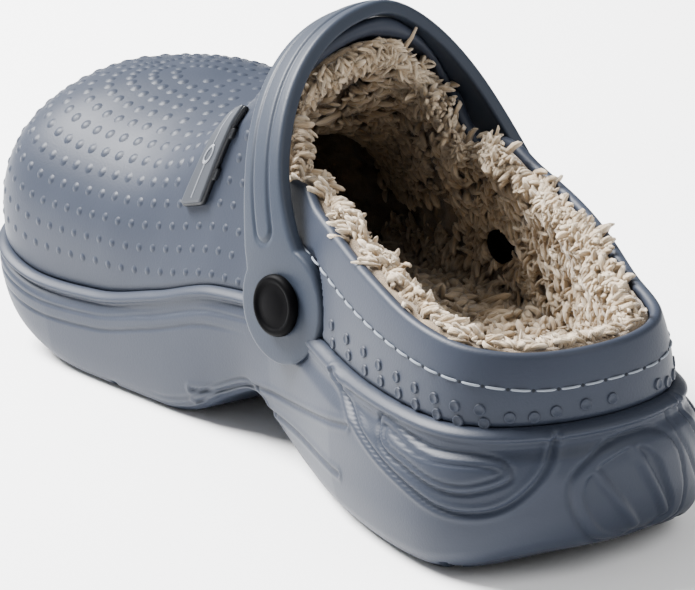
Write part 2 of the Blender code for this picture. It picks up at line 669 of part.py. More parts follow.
def build_badge():
    turn, angle, long, wide, tilt = BADGE
    angle = math.radians(angle)
    here = outer(turn, angle)
    across = (outer(turn + 0.5, angle) - here) * 2
    along = (outer(turn, angle + 0.02) - here) / 0.02
    mesh = bmesh.new()
    rows = []
    c, s = math.cos(math.radians(tilt)), math.sin(math.radians(tilt))
    grid = []
    for i in range(13):
        a = (i / 6 - 1) * long
        line = []
        for k in range(5):
            b = (k / 2 - 1) * wide
            t = turn + (b * c + a * s) / np.linalg.norm(across)
            h = angle + (a * c - b * s) / np.linalg.norm(along)
            line.append((t, h))
        grid.append(line)
    grid = np.array(grid)
    n = normals(grid[..., 0], grid[..., 1])
    base = outer(grid[..., 0], grid[..., 1])
    low, high = base + n * GAP * 1.6, base + n * 0.0021
    size = grid.shape[:2]
    bottom = [[mesh.verts.new(low[i, k]) for k in range(size[1])] for i in range(size[0])]
    top = [[mesh.verts.new(high[i, k]) for k in range(size[1])] for i in range(size[0])]
    for i in range(size[0] - 1):
        for k in range(size[1] - 1):
            mesh.faces.new([bottom[i][k], bottom[i][k + 1], bottom[i + 1][k + 1], bottom[i + 1][k]])
            mesh.faces.new([top[i][k], top[i + 1][k], top[i + 1][k + 1], top[i][k + 1]])
    edge = [(i, 0) for i in range(size[0])] + [(size[0] - 1, k) for k in range(1, size[1])]
    edge += [(i, size[1] - 1) for i in range(size[0] - 2, -1, -1)]
    edge += [(0, k) for k in range(size[1] - 2, 0, -1)]
    for (i, k), (j, m) in zip(edge, edge[1:] + edge[:1]):
        mesh.faces.new([bottom[i][k], bottom[j][m], top[j][m], top[i][k]])
    return finish("badge_plate", mesh)


def cut_tread(shell):
    for share, half in TREAD:
        z = float(column(EDGE, share)) * TOE_SPRING
        center = (float(middle(share)), share * UPPER_LENGTH, z + TREAD_DEPTH - 0.004)
        cut(shell, box("groove", center, (2 * half * BALL_WIDTH, TREAD_WIDTH, 0.008)))
    for share in HEEL_NOTCHES:
        cut(shell, box("notch", (share * BALL_WIDTH, -0.002, 0.002), (TREAD_WIDTH * 0.8, 0.024, 0.014)))


def main():
    for obj in list(bpy.data.objects):
        bpy.data.objects.remove(obj)
    shell = build_shell()
    lining = build_lining()
    for center, axis in pivots():
        cut(shell, cylinder("seat", center, axis, DISC_RADIUS + 0.001, -0.0004, 0.025, 32))
        cut(shell, cylinder("hole", center, axis, SHAFT_RADIUS + GAP, -0.016, 0.004))
        cut(lining, cylinder("hole", center, axis, CAP_RADIUS + GAP, -0.018, 0.004))
    cut(shell, strap_recess())
    cut_tread(shell)
    parts = [shell, lining, build_insole(), build_strap()]
    for name, (center, axis) in zip(("rivet_medial", "rivet_lateral"), pivots()):
        parts.append(build_rivet(name, center, axis))
    parts.append(build_badge())
    low = np.min([np.min([v.co[:] for v in p.data.vertices], axis=0) for p in parts], axis=0)
    high = np.max([np.max([v.co[:] for v in p.data.vertices], axis=0) for p in parts], axis=0)
    shift = Vector((-(low[0] + high[0]) / 2, -(low[1] + high[1]) / 2, -low[2]))
    for p in parts:
        for v in p.data.vertices:
            v.co += shift
    return shift


main()
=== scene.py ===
import math

import bpy
import numpy as np
from mathutils import Matrix, Vector


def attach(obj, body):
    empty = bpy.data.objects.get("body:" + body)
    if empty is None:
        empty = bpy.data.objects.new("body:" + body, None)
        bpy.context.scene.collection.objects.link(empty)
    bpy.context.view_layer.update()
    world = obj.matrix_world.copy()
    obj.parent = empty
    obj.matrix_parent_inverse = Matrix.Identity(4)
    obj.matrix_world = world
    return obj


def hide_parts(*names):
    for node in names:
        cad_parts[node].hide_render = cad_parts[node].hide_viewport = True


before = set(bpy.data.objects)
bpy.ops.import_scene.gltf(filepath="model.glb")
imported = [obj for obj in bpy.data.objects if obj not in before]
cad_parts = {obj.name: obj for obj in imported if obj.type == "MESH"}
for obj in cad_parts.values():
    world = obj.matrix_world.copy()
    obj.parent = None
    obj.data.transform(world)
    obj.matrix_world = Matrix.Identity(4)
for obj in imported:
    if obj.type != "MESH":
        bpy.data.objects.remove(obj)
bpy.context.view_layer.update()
print("frame loaded")

# where the drawing frame, with the back of the heel at y 0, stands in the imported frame
stand = np.array([0.00087, -0.14366, 0.0])

# the shoe in metres; its tables run by share of the length and hold shares of the sizes
clog = {
    "length": 0.291, "ballWidth": 0.110, "instep": 0.1160, "heelSole": 0.0435, "toeSpring": 0.016, "wall": 0.0035,
    "heelBulge": 0.0062, "foreBulge": 0.0036, "heelShares": (0.42, 0.25), "toeShares": (0.80, 0.95),
    "rimShare": 0.49, "spinePull": 0.765, "heelMiddle": -0.028, "ridgeShift": 0.003, "tuck": 0.005, "tuckBack": 0.5,
    "swell": 0.0028, "swellTurn": 2.2, "swellShares": (0.45, 0.75),
    "openTurn": 93.4, "openShare": 0.4984, "vampAngle": 42.0, "vampShare": 0.84,
    # turn, share of length, half widths as shares of the ball width: medial, lateral
    "plan": ((0, 0.000, 0.026, -0.026), (20, 0.030, 0.280, 0.215), (42, 0.115, 0.380, 0.298),
             (64, 0.260, 0.368, 0.400), (84, 0.420, 0.335, 0.425), (102, 0.570, 0.400, 0.448),
             (120, 0.710, 0.470, 0.510), (138, 0.830, 0.525, 0.475), (155, 0.930, 0.490, 0.345),
             (168, 0.983, 0.285, 0.145), (180, 1.000, 0.075, -0.075)),
    "valley": ((0.0, 1.0), (0.2, 1.0), (0.42, 1.08), (0.52, 1.03), (0.62, 0.84), (0.72, 0.68), (0.82, 0.63),
               (0.92, 0.74), (1.0, 0.88)),
    "ridge": ((0.10, 0.78), (0.30, 0.88), (0.42, 0.965), (0.49, 1.0), (0.525, 0.955), (0.57, 0.845), (0.61, 0.755),
              (0.65, 0.71), (0.70, 0.69), (0.76, 0.69), (0.82, 0.70), (0.88, 0.69), (1.0, 0.66)),
    "edge": ((0.0, 0.48), (0.05, 0.2), (0.10, 0.02), (0.16, 0.0), (0.30, 0.0), (0.36, 0.12), (0.41, 0.42),
             (0.47, 1.0), (0.52, 0.68), (0.575, 0.16), (0.62, 0.0), (0.75, 0.0), (0.82, 0.14), (0.89, 0.52),
             (0.95, 0.92), (1.0, 1.12)),
    "collar": ((0.0, 0.527), (0.04, 0.54), (0.08, 0.552), (0.13, 0.566), (0.20, 0.594), (0.28, 0.624), (0.36, 0.66),
               (0.40, 0.695), (0.42, 0.695), (0.445, 0.65), (0.462, 0.655), (0.478, 0.72), (0.49, 0.78)),
    # share, powers of the section: run medial, run lateral, rise; shares of the ridge shift and of the tuck
    "section": ((0.0, 0.85, 0.85, 0.95, 0.0, 0.0), (0.25, 0.9, 0.9, 1.0, 0.0, 0.0),
                (0.41, 1.05, 1.05, 1.05, 0.6, 0.0), (0.49, 1.25, 1.15, 1.0, 1.0, 1.0),
                (0.55, 1.2, 1.1, 1.0, 0.9, 0.9), (0.62, 1.05, 1.0, 1.0, 0.6, 0.5),
                (0.72, 0.95, 0.92, 0.96, 0.2, 0.0), (0.80, 0.85, 0.85, 0.92, 0.0, 0.0),
                (1.0, 0.80, 0.80, 0.85, 0.0, 0.0)),
    # height share between the lower edge and the valley, bulge at the heel, ball and toe
    "side": ((0.0, -0.2, -0.6, -1.6), (0.05, 0.35, 0.1, -1.0), (0.16, 0.8, 0.6, -0.3), (0.38, 1.0, 0.9, 0.2),
             (0.60, 1.0, 1.0, 0.5), (0.76, 0.85, 0.95, 0.6), (0.87, 0.45, 0.55, 0.5), (0.93, 0.55, 0.75, 0.7),
             (0.985, 0.25, 0.35, 0.35), (1.0, 0.0, 0.0, 0.0)),
    "footbed": ((0.0, 0.70), (0.2, 0.66), (0.45, 0.60), (0.65, 0.42), (0.8, 0.36), (0.92, 0.46), (1.0, 0.60)),
    # grooves across the underside: share of length, half width; and the heel's notches along it
    "tread": ((0.07, 0.7), (0.15, 0.24), (0.237, 0.7), (0.635, 0.3), (0.70, 0.7), (0.765, 0.3), (0.83, 0.7)),
    "treadDepth": 0.0028, "treadHalf": 0.0021, "treadSoft": 0.0007, "treadEnd": 0.001,
    "heelNotches": (0.07, 0.20), "notchHalf": 0.0018, "notchReach": 0.010, "notchHeight": 0.009,
}


def natural(xs, ys, x):
    # natural cubic spline through the knots
    xs, ys = np.asarray(xs, float), np.asarray(ys, float)
    n, h = len(xs), np.diff(xs)
    a, b = np.eye(n), np.zeros(n)
    for i in range(1, n - 1):
        a[i, i - 1:i + 2] = h[i - 1], 2 * (h[i - 1] + h[i]), h[i]
        b[i] = 6 * ((ys[i + 1] - ys[i]) / h[i] - (ys[i] - ys[i - 1]) / h[i - 1])
    m = np.linalg.solve(a, b)
    x = np.clip(np.asarray(x, float), xs[0], xs[-1])
    k = np.clip(np.searchsorted(xs, x) - 1, 0, n - 2)
    u, v, w = x - xs[k], xs[k + 1] - x, h[k]
    low = m[k] * v ** 3 / (6 * w) + (ys[k] / w - m[k] * w / 6) * v
    return low + m[k + 1] * u ** 3 / (6 * w) + (ys[k + 1] / w - m[k + 1] * w / 6) * u


def gentle(xs, ys, x):
    # cubic through the knots that never overshoots, flat at the ends
    xs, ys = np.asarray(xs, float), np.asarray(ys, float)
    h = np.diff(xs)
    d = np.diff(ys) / h
    m = np.zeros(len(xs))
    same = d[:-1] * d[1:] > 0
    m[1:-1][same] = 2 * d[:-1][same] * d[1:][same] / (d[:-1][same] + d[1:][same])
    x = np.clip(np.asarray(x, float), xs[0], xs[-1])
    k = np.clip(np.searchsorted(xs, x) - 1, 0, len(xs) - 2)
    t = (x - xs[k]) / h[k]
    return ((1 + 2 * t) * (1 - t) ** 2 * ys[k] + t * (1 - t) ** 2 * h[k] * m[k]
            + t * t * (3 - 2 * t) * ys[k + 1] + t * t * (t - 1) * h[k] * m[k + 1])


def ramp(x, start, end):
    # 0 at the start, 1 at the end, straight between them and level beyond
    return np.clip((x - start) / (end - start), 0, 1)


def smooth(x):
    # a soft step from 0 to 1: three squares less two cubes
    x = np.clip(x, 0, 1)
    return x * x * (3 - 2 * x)


def unit(v):
    return v / np.maximum(np.linalg.norm(v, axis=-1, keepdims=True), 1e-12)


def atHeight(flat, z):
    # points of the plan set at their heights
    return np.concatenate([flat, np.broadcast_to(z, flat.shape[:-1])[..., None]], -1)


def column(name, share, index=1):
    table = clog[name]
    return gentle([row[0] for row in table], [row[index] for row in table], share)


def level(name, flat):
    # height of the valley line or the footbed at points of the plan
    return column(name, flat[..., 1] / clog["length"]) * clog["heelSole"]


def plan(turn):
    # outline on the valley line, natural splines round the table: turn 0 at the heel, 90 lateral, 180 toe
    table, back = clog["plan"], clog["plan"][-2:0:-1]
    knots = [r[0] for r in table] + [360 - r[0] for r in back]
    knots = [k + lap for lap in (-360, 0, 360) for k in knots]
    xs = [r[3] for r in table] + [-r[2] for r in back]
    ys = [r[1] for r in table] + [r[1] for r in back]
    return np.stack([natural(knots, xs * 3, turn) * clog["ballWidth"],
                     natural(knots, ys * 3, turn) * clog["length"]], -1)


def outward(turn):
    # the outline's direction over one degree, turned a quarter to point outside
    turn = np.asarray(turn, float)
    step = unit(plan(turn + 0.5) - plan(turn - 0.5))
    return np.stack([step[..., 1], -step[..., 0]], -1)


def middle(share):
    # x half way between the two sides
    rows = clog["plan"][1:]
    halves = [clog["heelMiddle"]] + [(r[3] - r[2]) / 2 for r in rows]
    return gentle([0.0] + [r[1] for r in rows], halves, share) * clog["ballWidth"]


def spine(base):
    # the ridge's point over a point of the outline: y drawn in towards the rim, x on the middle, shifted
    rim = clog["rimShare"] * clog["length"]
    y = rim + clog["spinePull"] * (base[..., 1] - rim)
    share = y / clog["length"]
    return np.stack([middle(share) + column("section", share, 4) * clog["ridgeShift"], y], -1)


def outer(turn, theta):
    # outside of the upper: a meridian from the valley line (theta 0) to the ridge (a quarter turn), its run a power
    # of the cosine and its rise a power of the sine, tucked in low and swelled high beside the rim
    turn, theta = np.broadcast_arrays(np.asarray(turn, float), np.asarray(theta, float))
    base = plan(turn)
    top = spine(base)
    share, over = base[..., 1] / clog["length"], top[..., 1] / clog["length"]
    low, high = level("valley", base), column("ridge", over) * clog["instep"]
    power = np.where(np.mod(turn, 360) < 180, column("section", share, 2), column("section", share, 1))
    run = np.clip(np.cos(theta), 0, 1) ** power
    rise = np.clip(np.sin(theta), 0, 1) ** column("section", share, 3)
    swell = clog["swell"] * np.sin(np.clip(theta * clog["swellTurn"], 0, math.pi)) * ramp(share, *clog["swellShares"])
    wave = np.sin(4 * np.clip(theta, 0, math.pi / 2))
    swell = swell - clog["tuck"] * column("section", share, 5) * np.where(wave > 0, wave, wave * clog["tuckBack"])
    flat = top + (base - top) * run[..., None] + outward(turn) * swell[..., None]
    return atHeight(flat, low + (high - low) * rise)


def thetaAt(turn, height):
    # angle where the meridian reaches a height: the rise of outer() turned round
    base = plan(turn)
    low = level("valley", base)
    high = column("ridge", spine(base)[..., 1] / clog["length"]) * clog["instep"]
    power = column("section", base[..., 1] / clog["length"], 3)
    return np.arcsin(np.clip((height - low) / (high - low), 0, 1) ** (1 / power))


def normals(turn, theta):
    # across the upper's two directions, by small steps of turn and angle
    a = outer(turn + 0.4, theta) - outer(turn - 0.4, theta)
    b = outer(turn, theta + 0.01) - outer(turn, theta - 0.01)
    return unit(np.cross(a, b))


def collarTheta(turn):
    # angle of the opening's edge: where the meridian meets the collar, then a plain row over the vamp
    share, rim = plan(turn)[..., 1] / clog["length"], clog["rimShare"]
    at = thetaAt(turn, column("collar", np.minimum(share, rim)) * clog["instep"])
    edge = thetaAt(np.array([clog["openTurn"]]), column("collar", rim) * clog["instep"])[0]
    row = edge + (math.radians(clog["vampAngle"]) - edge) * ramp(share, rim, clog["vampShare"])
    return np.where(share > clog["openShare"], row, at)


ruler = np.linspace(0.0, 690.0, 6901)
rulerRun = 1000 * np.concatenate([[0], np.cumsum(np.linalg.norm(np.diff(plan(ruler), axis=0), axis=1))])


def arcAt(turn):
    # distance along the outline in millimetres
    return np.interp(turn, ruler, rulerRun)


def loopTurns(count, mark):
    # turns at even steps along the outline, the same on both sides, one column standing on the mark
    at, end = arcAt(mark), arcAt(180.0)
    first = int(round(count / 2 * at / end))
    steps = np.concatenate([np.linspace(0, at, first, endpoint=False), np.linspace(at, end, count // 2 - first + 1)])
    half = np.interp(steps, rulerRun, ruler)
    return np.concatenate([half, 360 - half[-2:0:-1]]), first


def gridQuads(rows, cols, start=0, wrap=True):
    # quads between the rows of a grid, its last column joined to the first
    k = np.arange(cols if wrap else cols - 1)
    row = np.arange(rows - 1)[:, None] * cols
    a, b = row + k, row + (k + 1) % cols
    return np.stack([a, b, b + cols, a + cols], -1).reshape(-1, 4) + start


def repeated(faces, number, size):
    # the faces of one small shape for a number of them, each with size points
    return (faces[None] + (np.arange(number) * size)[:, None, None]).reshape(-1, faces.shape[-1])


weldsPerMetre = 2e5


def makePiece(name, slot, material, points, quads, tris=(), nodes=(), fields=None):
    # one mesh from arrays: doubled points welded, unused ones dropped, faces turned outward
    points = np.asarray(points, float).reshape(-1, 3)
    quads, tris = np.asarray(quads, np.int64).reshape(-1, 4), np.asarray(tris, np.int64).reshape(-1, 3)
    used = np.zeros(len(points), bool)
    used[quads] = used[tris] = True
    new, kept = np.cumsum(used) - 1, np.flatnonzero(used)
    key = np.round(points[kept] * weldsPerMetre).astype(np.int64)
    _, first, back = np.unique(key, axis=0, return_index=True, return_inverse=True)
    back = back.reshape(-1)
    quads, tris = back[new[quads]], back[new[tris]]
    same = quads == np.roll(quads, -1, axis=1)
    single = same.sum(1) == 1
    tris = np.concatenate([tris, quads[single][~same[single]].reshape(-1, 3)])
    tris = tris[(tris[:, 0] != tris[:, 1]) & (tris[:, 1] != tris[:, 2]) & (tris[:, 2] != tris[:, 0])]
    quads = quads[(same.sum(1) == 0) & (quads[:, 0] != quads[:, 2]) & (quads[:, 1] != quads[:, 3])]
    kept = kept[first]
    points = points[kept] + stand
    both = np.concatenate([quads[:, :3], quads[:, [0, 2, 3]], tris])
    a, b, c = points[both[:, 0]], points[both[:, 1]], points[both[:, 2]]
    if np.einsum("ij,ij->", a, np.cross(b, c)) < 0:
        quads, tris = quads[:, ::-1], tris[:, ::-1]
    data = bpy.data.meshes.new(name)
    data.vertices.add(len(points))
    data.vertices.foreach_set("co", points.ravel())
    data.loops.add(quads.size + tris.size)
    data.loops.foreach_set("vertex_index", np.concatenate([quads.ravel(), tris.ravel()]).astype(np.int32))
    data.polygons.add(len(quads) + len(tris))
    starts = np.concatenate([np.arange(len(quads)) * 4, quads.size + np.arange(len(tris)) * 3])
    data.polygons.foreach_set("loop_start", starts.astype(np.int32))
    data.update(calc_edges=True)
    data.polygons.foreach_set("use_smooth", np.ones(len(starts), bool))
    for key, values in (fields or {}).items():
        kind, part = ("FLOAT_VECTOR", "vector") if values.ndim == 2 else ("FLOAT", "value")
        layer = data.attributes.new(key, kind, "POINT")
        layer.data.foreach_set(part, np.asarray(values, np.float32)[kept].ravel())
    data.materials.append(material)
    obj = bpy.data.objects.new(name, data)
    bpy.context.scene.collection.objects.link(obj)
    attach(obj, "root")
    if nodes:
        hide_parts(*nodes)
    print(name, len(quads) * 2 + len(tris), "triangles")


# materials
looks = {
    # foam: colour, its darker mottle, roughness
    "foamGrey": ((0.0205, 0.0255, 0.0385), (0.0165, 0.0210, 0.0325), 0.48),
    "foamStrap": ((0.0225, 0.0290, 0.0425), (0.0185, 0.0240, 0.0360), 0.46),
    "foamShine": 0.17,
    # plain parts: colour, roughness, specular
    "rivetBlack": ((0.0012, 0.0012, 0.0015), 0.50, 0.02),
    "badgeDark": ((0.038, 0.042, 0.050), 0.42, 0.2),
    "badgeLine": ((0.17, 0.18, 0.20), 0.4, 0.5),
    "badgeEdge": ((0.008, 0.009, 0.011), 0.4, 0.25),
    "threadGrey": ((0.17, 0.19, 0.22), 0.8, 0.2),
    # dark caps at the stitch holes: painted shade of the holes, not sunk holes
    "holeShadePaint": ((0.012, 0.014, 0.018), 0.9, 0.1),
    # fleece: stops of its colour from the root to the tip, the dark root stop painted shade down in the pile, and
    # what adds up to the place on them
    "wool": ((0.05, (0.045, 0.028, 0.014)), (0.48, (0.34, 0.25, 0.155)), (0.98, (0.70, 0.585, 0.44))),
    "woolParts": {"along": 0.62, "tone": 0.26, "Stripe": 0.42, "Patch": 0.34}, "woolShift": -0.32,
    "woolShader": {"Roughness": 0.85, "Specular IOR Level": 0.2, "Sheen Weight": 0.35, "Sheen Roughness": 0.5},
}


def addNode(tree, kind, links=(), **values):
    # a node with its values set and its inputs linked, each link as input, other node, its output
    node = tree.nodes.new("ShaderNode" + kind)
    for name, value in values.items():
        node.inputs[name].default_value = value
    for into, other, out in links:
        tree.links.new(other.outputs[out], node.inputs[into])
    return node


def newGroup(name, values, outputs):
    # an empty node group, its inputs with their usual values
    group = bpy.data.node_groups.new(name, "ShaderNodeTree")
    for socket, value in values.items():
        made = group.interface.new_socket(name=socket, socket_type="NodeSocketFloat", in_out="INPUT")
        made.default_value = value
    for socket in outputs:
        kind = "NodeSocketVector" if socket == "Normal" else "NodeSocketFloat"
        group.interface.new_socket(name=socket, socket_type=kind, in_out="OUTPUT")
    return group, group.nodes.new("NodeGroupInput"), group.nodes.new("NodeGroupOutput")


def putGroup(tree, group):
    node = tree.nodes.new("ShaderNodeGroup")
    node.node_tree = group
    return node


def newMaterial(name, values):
    material = bpy.data.materials.new(name)
    material.use_nodes = True
    shader = material.node_tree.nodes["Principled BSDF"]
    for socket, value in values.items():
        shader.inputs[socket].default_value = value
    return material, material.node_tree, shader


def mixColours(tree, node, out, first, second, shader):
    # the shader's colour between two by a value
    mix = tree.nodes.new("ShaderNodeMix")
    mix.data_type = "RGBA"
    mix.inputs["A"].default_value, mix.inputs["B"].default_value = (*first, 1), (*second, 1)
    tree.links.new(node.outputs[out], mix.inputs["Factor"])
    tree.links.new(mix.outputs["Result"], shader.inputs["Base Color"])


def foamGroup():
    # skin of moulded foam: a broad mottle for the colour, fine pores as a bump normal
    group, given, out = newGroup("foamSkin", {"Mottle Scale": 55.0, "Pore Scale": 1500.0, "Pore Depth": 0.10},
                                 ("Mottle", "Normal"))
    coord = addNode(group, "TexCoord")
    broad = addNode(group, "TexNoise", [("Vector", coord, "Object"), ("Scale", given, "Mottle Scale")], Detail=3.0)
    fine = addNode(group, "TexNoise", [("Vector", coord, "Object"), ("Scale", given, "Pore Scale")], Detail=2.0)
    bump = addNode(group, "Bump", [("Height", fine, "Fac"), ("Strength", given, "Pore Depth")], Distance=0.0006)
    group.links.new(broad.outputs["Fac"], out.inputs["Mottle"])
    group.links.new(bump.outputs["Normal"], out.inputs["Normal"])
    return group


def grainGroup():
    # a faint grain for moulded plastic and thread, as a bump normal
    group, given, out = newGroup("fineGrain", {"Scale": 700.0, "Depth": 0.06}, ("Normal",))
    coord = addNode(group, "TexCoord")
    noise = addNode(group, "TexNoise", [("Vector", coord, "Object"), ("Scale", given, "Scale")])
    bump = addNode(group, "Bump", [("Height", noise, "Fac"), ("Strength", given, "Depth")], Distance=0.0004)
    group.links.new(bump.outputs["Normal"], out.inputs["Normal"])
    return group


def woolGroup():
    # single fibres along a lock, from its own strand coordinates, and patches over the whole fleece
    group, given, out = newGroup("woolFibre", {"Stripe Scale": 2.6, "Patch Scale": 90.0, "Depth": 0.75},
                                 ("Stripe", "Patch", "Normal"))
    strand, coord = addNode(group, "Attribute"), addNode(group, "TexCoord")
    strand.attribute_name = "strand"
    stripe = addNode(group, "TexNoise", [("Vector", strand, "Vector"), ("Scale", given, "Stripe Scale")], Detail=3.0)
    patch = addNode(group, "TexNoise", [("Vector", coord, "Object"), ("Scale", given, "Patch Scale")], Detail=2.0)
    bump = addNode(group, "Bump", [("Height", stripe, "Fac"), ("Strength", given, "Depth")], Distance=0.0007)
    for node, socket, name in ((stripe, "Fac", "Stripe"), (patch, "Fac", "Patch"), (bump, "Normal", "Normal")):
        group.links.new(node.outputs[socket], out.inputs[name])
    return group


def foamMaterial(name):
    colour, dark, rough = looks[name]
    material, tree, shader = newMaterial(name, {"Roughness": rough, "Specular IOR Level": looks["foamShine"]})
    skin = putGroup(tree, foamSkin)
    mixColours(tree, skin, "Mottle", dark, colour, shader)
    tree.links.new(skin.outputs["Normal"], shader.inputs["Normal"])
    return material


def plainMaterial(name):
    colour, rough, spec = looks[name]
    values = {"Base Color": (*colour, 1), "Roughness": rough, "Specular IOR Level": spec}
    material, tree, shader = newMaterial(name, values)
    tree.links.new(putGroup(tree, fineGrain).outputs["Normal"], shader.inputs["Normal"])
    return material


def woolMaterial(name):
    # the place on the ramp is a weighted sum of the lock's own values and the fibre group's; low places take the dark
    # root stop, painted shade of the pile's depths
    material, tree, shader = newMaterial(name, looks["woolShader"])
    fibre, total = putGroup(tree, woolFibre), None
    for part, weight in looks["woolParts"].items():
        source, out = fibre, part
        if part in ("along", "tone"):
            source, out = addNode(tree, "Attribute"), "Fac"
            source.attribute_name = part
        step = addNode(tree, "Math")
        step.operation = "MULTIPLY_ADD"
        step.inputs[1].default_value, step.inputs[2].default_value = weight, looks["woolShift"]
        tree.links.new(source.outputs[out], step.inputs[0])
        if total is not None:
            tree.links.new(total.outputs[0], step.inputs[2])
        total = step
    # the first stop is near black: painted shade where the locks crowd at their roots
    stops = addNode(tree, "ValToRGB", [("Fac", total, 0)])
    low, body, tip = looks["wool"]
    for element, (place, colour) in zip(stops.color_ramp.elements, (low, tip)):
        element.position, element.color = place, (*colour, 1)
    stops.color_ramp.elements.new(body[0]).color = (*body[1], 1)
    tree.links.new(stops.outputs["Color"], shader.inputs["Base Color"])
    tree.links.new(fibre.outputs["Normal"], shader.inputs["Normal"])
    return material


foamSkin, fineGrain, woolFibre = foamGroup(), grainGroup(), woolGroup()
foam, strapFoam, wool = foamMaterial("foamGrey"), foamMaterial("foamStrap"), woolMaterial("woolBeige")
print("materials made")


# the sole: side and tread; curves are points of turn and height in millimetres
sole = {
    "columns": 1000, "sideRows": 64, "lowRows": 8, "lowPart": 0.10,
    "underRows": (0, 0.12, 0.25, 0.38, 0.5, 0.62, 0.73, 0.83, 0.91, 0.96),
    "lipRows": ((0.0016, 0.0006), (0.0030, 0.004)), "footInset": 0.0032, "footGap": 0.0005, "footParts": (0.6, 0.0),
    "tear": ((310.7, 37.6), (322.9, 37.0), (333.3, 36.8), (339.8, 36.5), (342.7, 34.7), (343.3, 32.1), (339.9, 28.6),
             (333.9, 26.5), (327.3, 27.0), (319.0, 29.8), (312.8, 32.8)),
    "swoosh": ((295.5, 41.9), (303.0, 35.7), (313.2, 28.6), (322.0, 24.4), (329.5, 21.5), (336.1, 21.3),
               (341.1, 23.0), (345.9, 28.1), (349.0, 34.2), (350.8, 40.3), (351.2, 41.7)),
    "archUpper": ((259.0, 11.0), (263.8, 13.3), (268.8, 18.0), (278.7, 21.7), (292.1, 26.7), (303.0, 31.5)),
    "archLower": ((259.0, 7.0), (264.0, 9.2), (270.0, 12.6), (279.0, 14.6), (288.7, 15.1), (300.0, 15.6)),
    "panel": ((356.5, 10.9), (353.4, 18.1), (352.2, 24.2), (352.6, 29.7), (355.1, 33.9), (358.9, 37.1), (364.1, 38.3),
              (369.4, 36.9), (372.6, 32.0), (374.2, 25.0), (374.8, 17.0), (374.0, 11.2), (365.0, 9.6)),
    "field": ((357.2, 13.6), (355.3, 18.8), (354.3, 24.9), (355.6, 30.5), (359.8, 34.2), (364.4, 35.4), (367.4, 32.0),
              (370.2, 22.0), (371.6, 13.2)),
    "ribs": (((356.3, 31.4), (363.7, 12.8)), ((363.3, 35.7), (370.1, 13.9))),
    "sideLine": ((372.8, 40.5), (373.9, 33.7), (376.6, 26.9), (380.0, 18.5), (385.0, 11.0)),
    "mirror": 368.0, "cut": 200.0,
    # lines in millimetres: height, width, distance from the curve; swells: height, width
    "tearLines": ((-0.95, 0.55, 0.0), (-0.7, 0.5, 2.5)), "tearSwell": (0.45, 1.6),
    "swooshLines": ((0.5, 0.8, 1.6), (-0.95, 0.6, 0.0)), "archLines": ((0.35, 0.7, 1.4), (-0.7, 0.55, 0.0)),
    "panelLines": ((-0.9, 0.55, 0.0),), "panelSwell": (0.35, 1.0), "fieldSwell": (-1.25, 0.9), "ribWidth": 1.25,
    "sideLines": ((-0.7, 0.55, 0.0),),
    # the same below the valley line or above the lower edge, with the shares of length where they fade in and out
    "topLines": ((0.35, 1.1, 1.7), (-0.75, 0.5, 3.4)),
    "longLines": ((-0.6, 0.5, 7.0),), "longShares": (0.33, 0.43),
    "foreLines": ((-0.6, 0.5, 11.1),), "foreShares": (0.46, 0.54, 0.93, 0.83),
    "footLines": ((-0.6, 0.5, 2.4), (-0.6, 0.5, 4.8)), "footShares": (0.30, 0.36, 0.64, 0.59),
}


def finer(line, closed):
    # natural spline through the points over their running distance, in millimetres along the outline and up
    points = np.array([(arcAt(t), h) for t, h in line])
    if closed:
        points = np.vstack([points[-2:], points, points[:3]])
    run = np.concatenate([[0], np.cumsum(np.linalg.norm(np.diff(points, axis=0), axis=1))])
    low, high = (run[2], run[-3]) if closed else (run[0], run[-1])
    at = np.linspace(low, high, max(2, int((high - low) / 1.2)))
    return np.stack([natural(run, points[:, k], at) for k in (0, 1)], -1)


def awayFrom(name, a, z, closed=False):
    # distance of the points (a, z) from a curve; for a closed one inside counts positive
    line = finer(sole[name] if isinstance(name, str) else name, closed)
    best, inside = np.full(a.shape, 1e9), np.zeros(a.shape, bool)
    for p, q in zip(line[:-1], line[1:]):
        d = q - p
        t = np.clip(((a - p[0]) * d[0] + (z - p[1]) * d[1]) / max(d @ d, 1e-9), 0, 1)
        best = np.minimum(best, np.hypot(a - p[0] - t * d[0], z - p[1] - t * d[1]))
        if closed and p[1] != q[1]:
            inside ^= ((p[1] > z) != (q[1] > z)) & (a < (q[0] - p[0]) * (z - p[1]) / (q[1] - p[1]) + p[0])
    return np.where(inside, best, -best) if closed else best


def ridges(away, name):
    # gaussian ridges and grooves at distances from a curve
    return sum(high * np.exp(-((away - at) / width) ** 2) for high, width, at in sole[name])


def swelled(away, name):
    # a soft step up inside a closed curve
    high, width = sole[name]
    return high * smooth(away / width)


def relief(turn, z, low, high):
    # raised and sunk lines of the side in millimetres: those of the curves, on both sides of the shoe, the panel at
    # the heel, and lines at steady distances from the upper and the lower edge
    total = np.zeros(z.shape)
    for flip in (False, True):
        at = np.mod(sole["mirror"] - turn, 360) if flip else turn
        a = arcAt(np.where(at < sole["cut"], at + 360, at))
        tear = awayFrom("tear", a, z, True)
        total += swelled(tear, "tearSwell") + ridges(tear, "tearLines")
        total += ridges(awayFrom("swoosh", a, z), "swooshLines")
        total += ridges(awayFrom("archUpper", a, z), "archLines") + ridges(awayFrom("archLower", a, z), "archLines")
        if not flip:
            panel, field = awayFrom("panel", a, z, True), awayFrom("field", a, z, True)
            rib = np.minimum(*[awayFrom(r, a, z) for r in sole["ribs"]])
            total += swelled(panel, "panelSwell") + ridges(panel, "panelLines")
            total += swelled(field, "fieldSwell") * (1 - np.exp(-(rib / sole["ribWidth"]) ** 4))
            total += ridges(awayFrom("sideLine", a, z), "sideLines")
    share, under = plan(turn)[..., 1] / clog["length"], high - z
    total += ridges(under, "topLines") + ridges(under, "longLines") * ramp(share, *sole["longShares"])
    for away, part in ((under, "fore"), (z - low, "foot")):
        shares = sole[part + "Shares"]
        total += ridges(away, part + "Lines") * ramp(share, *shares[:2]) * ramp(share, *shares[2:])
    return total


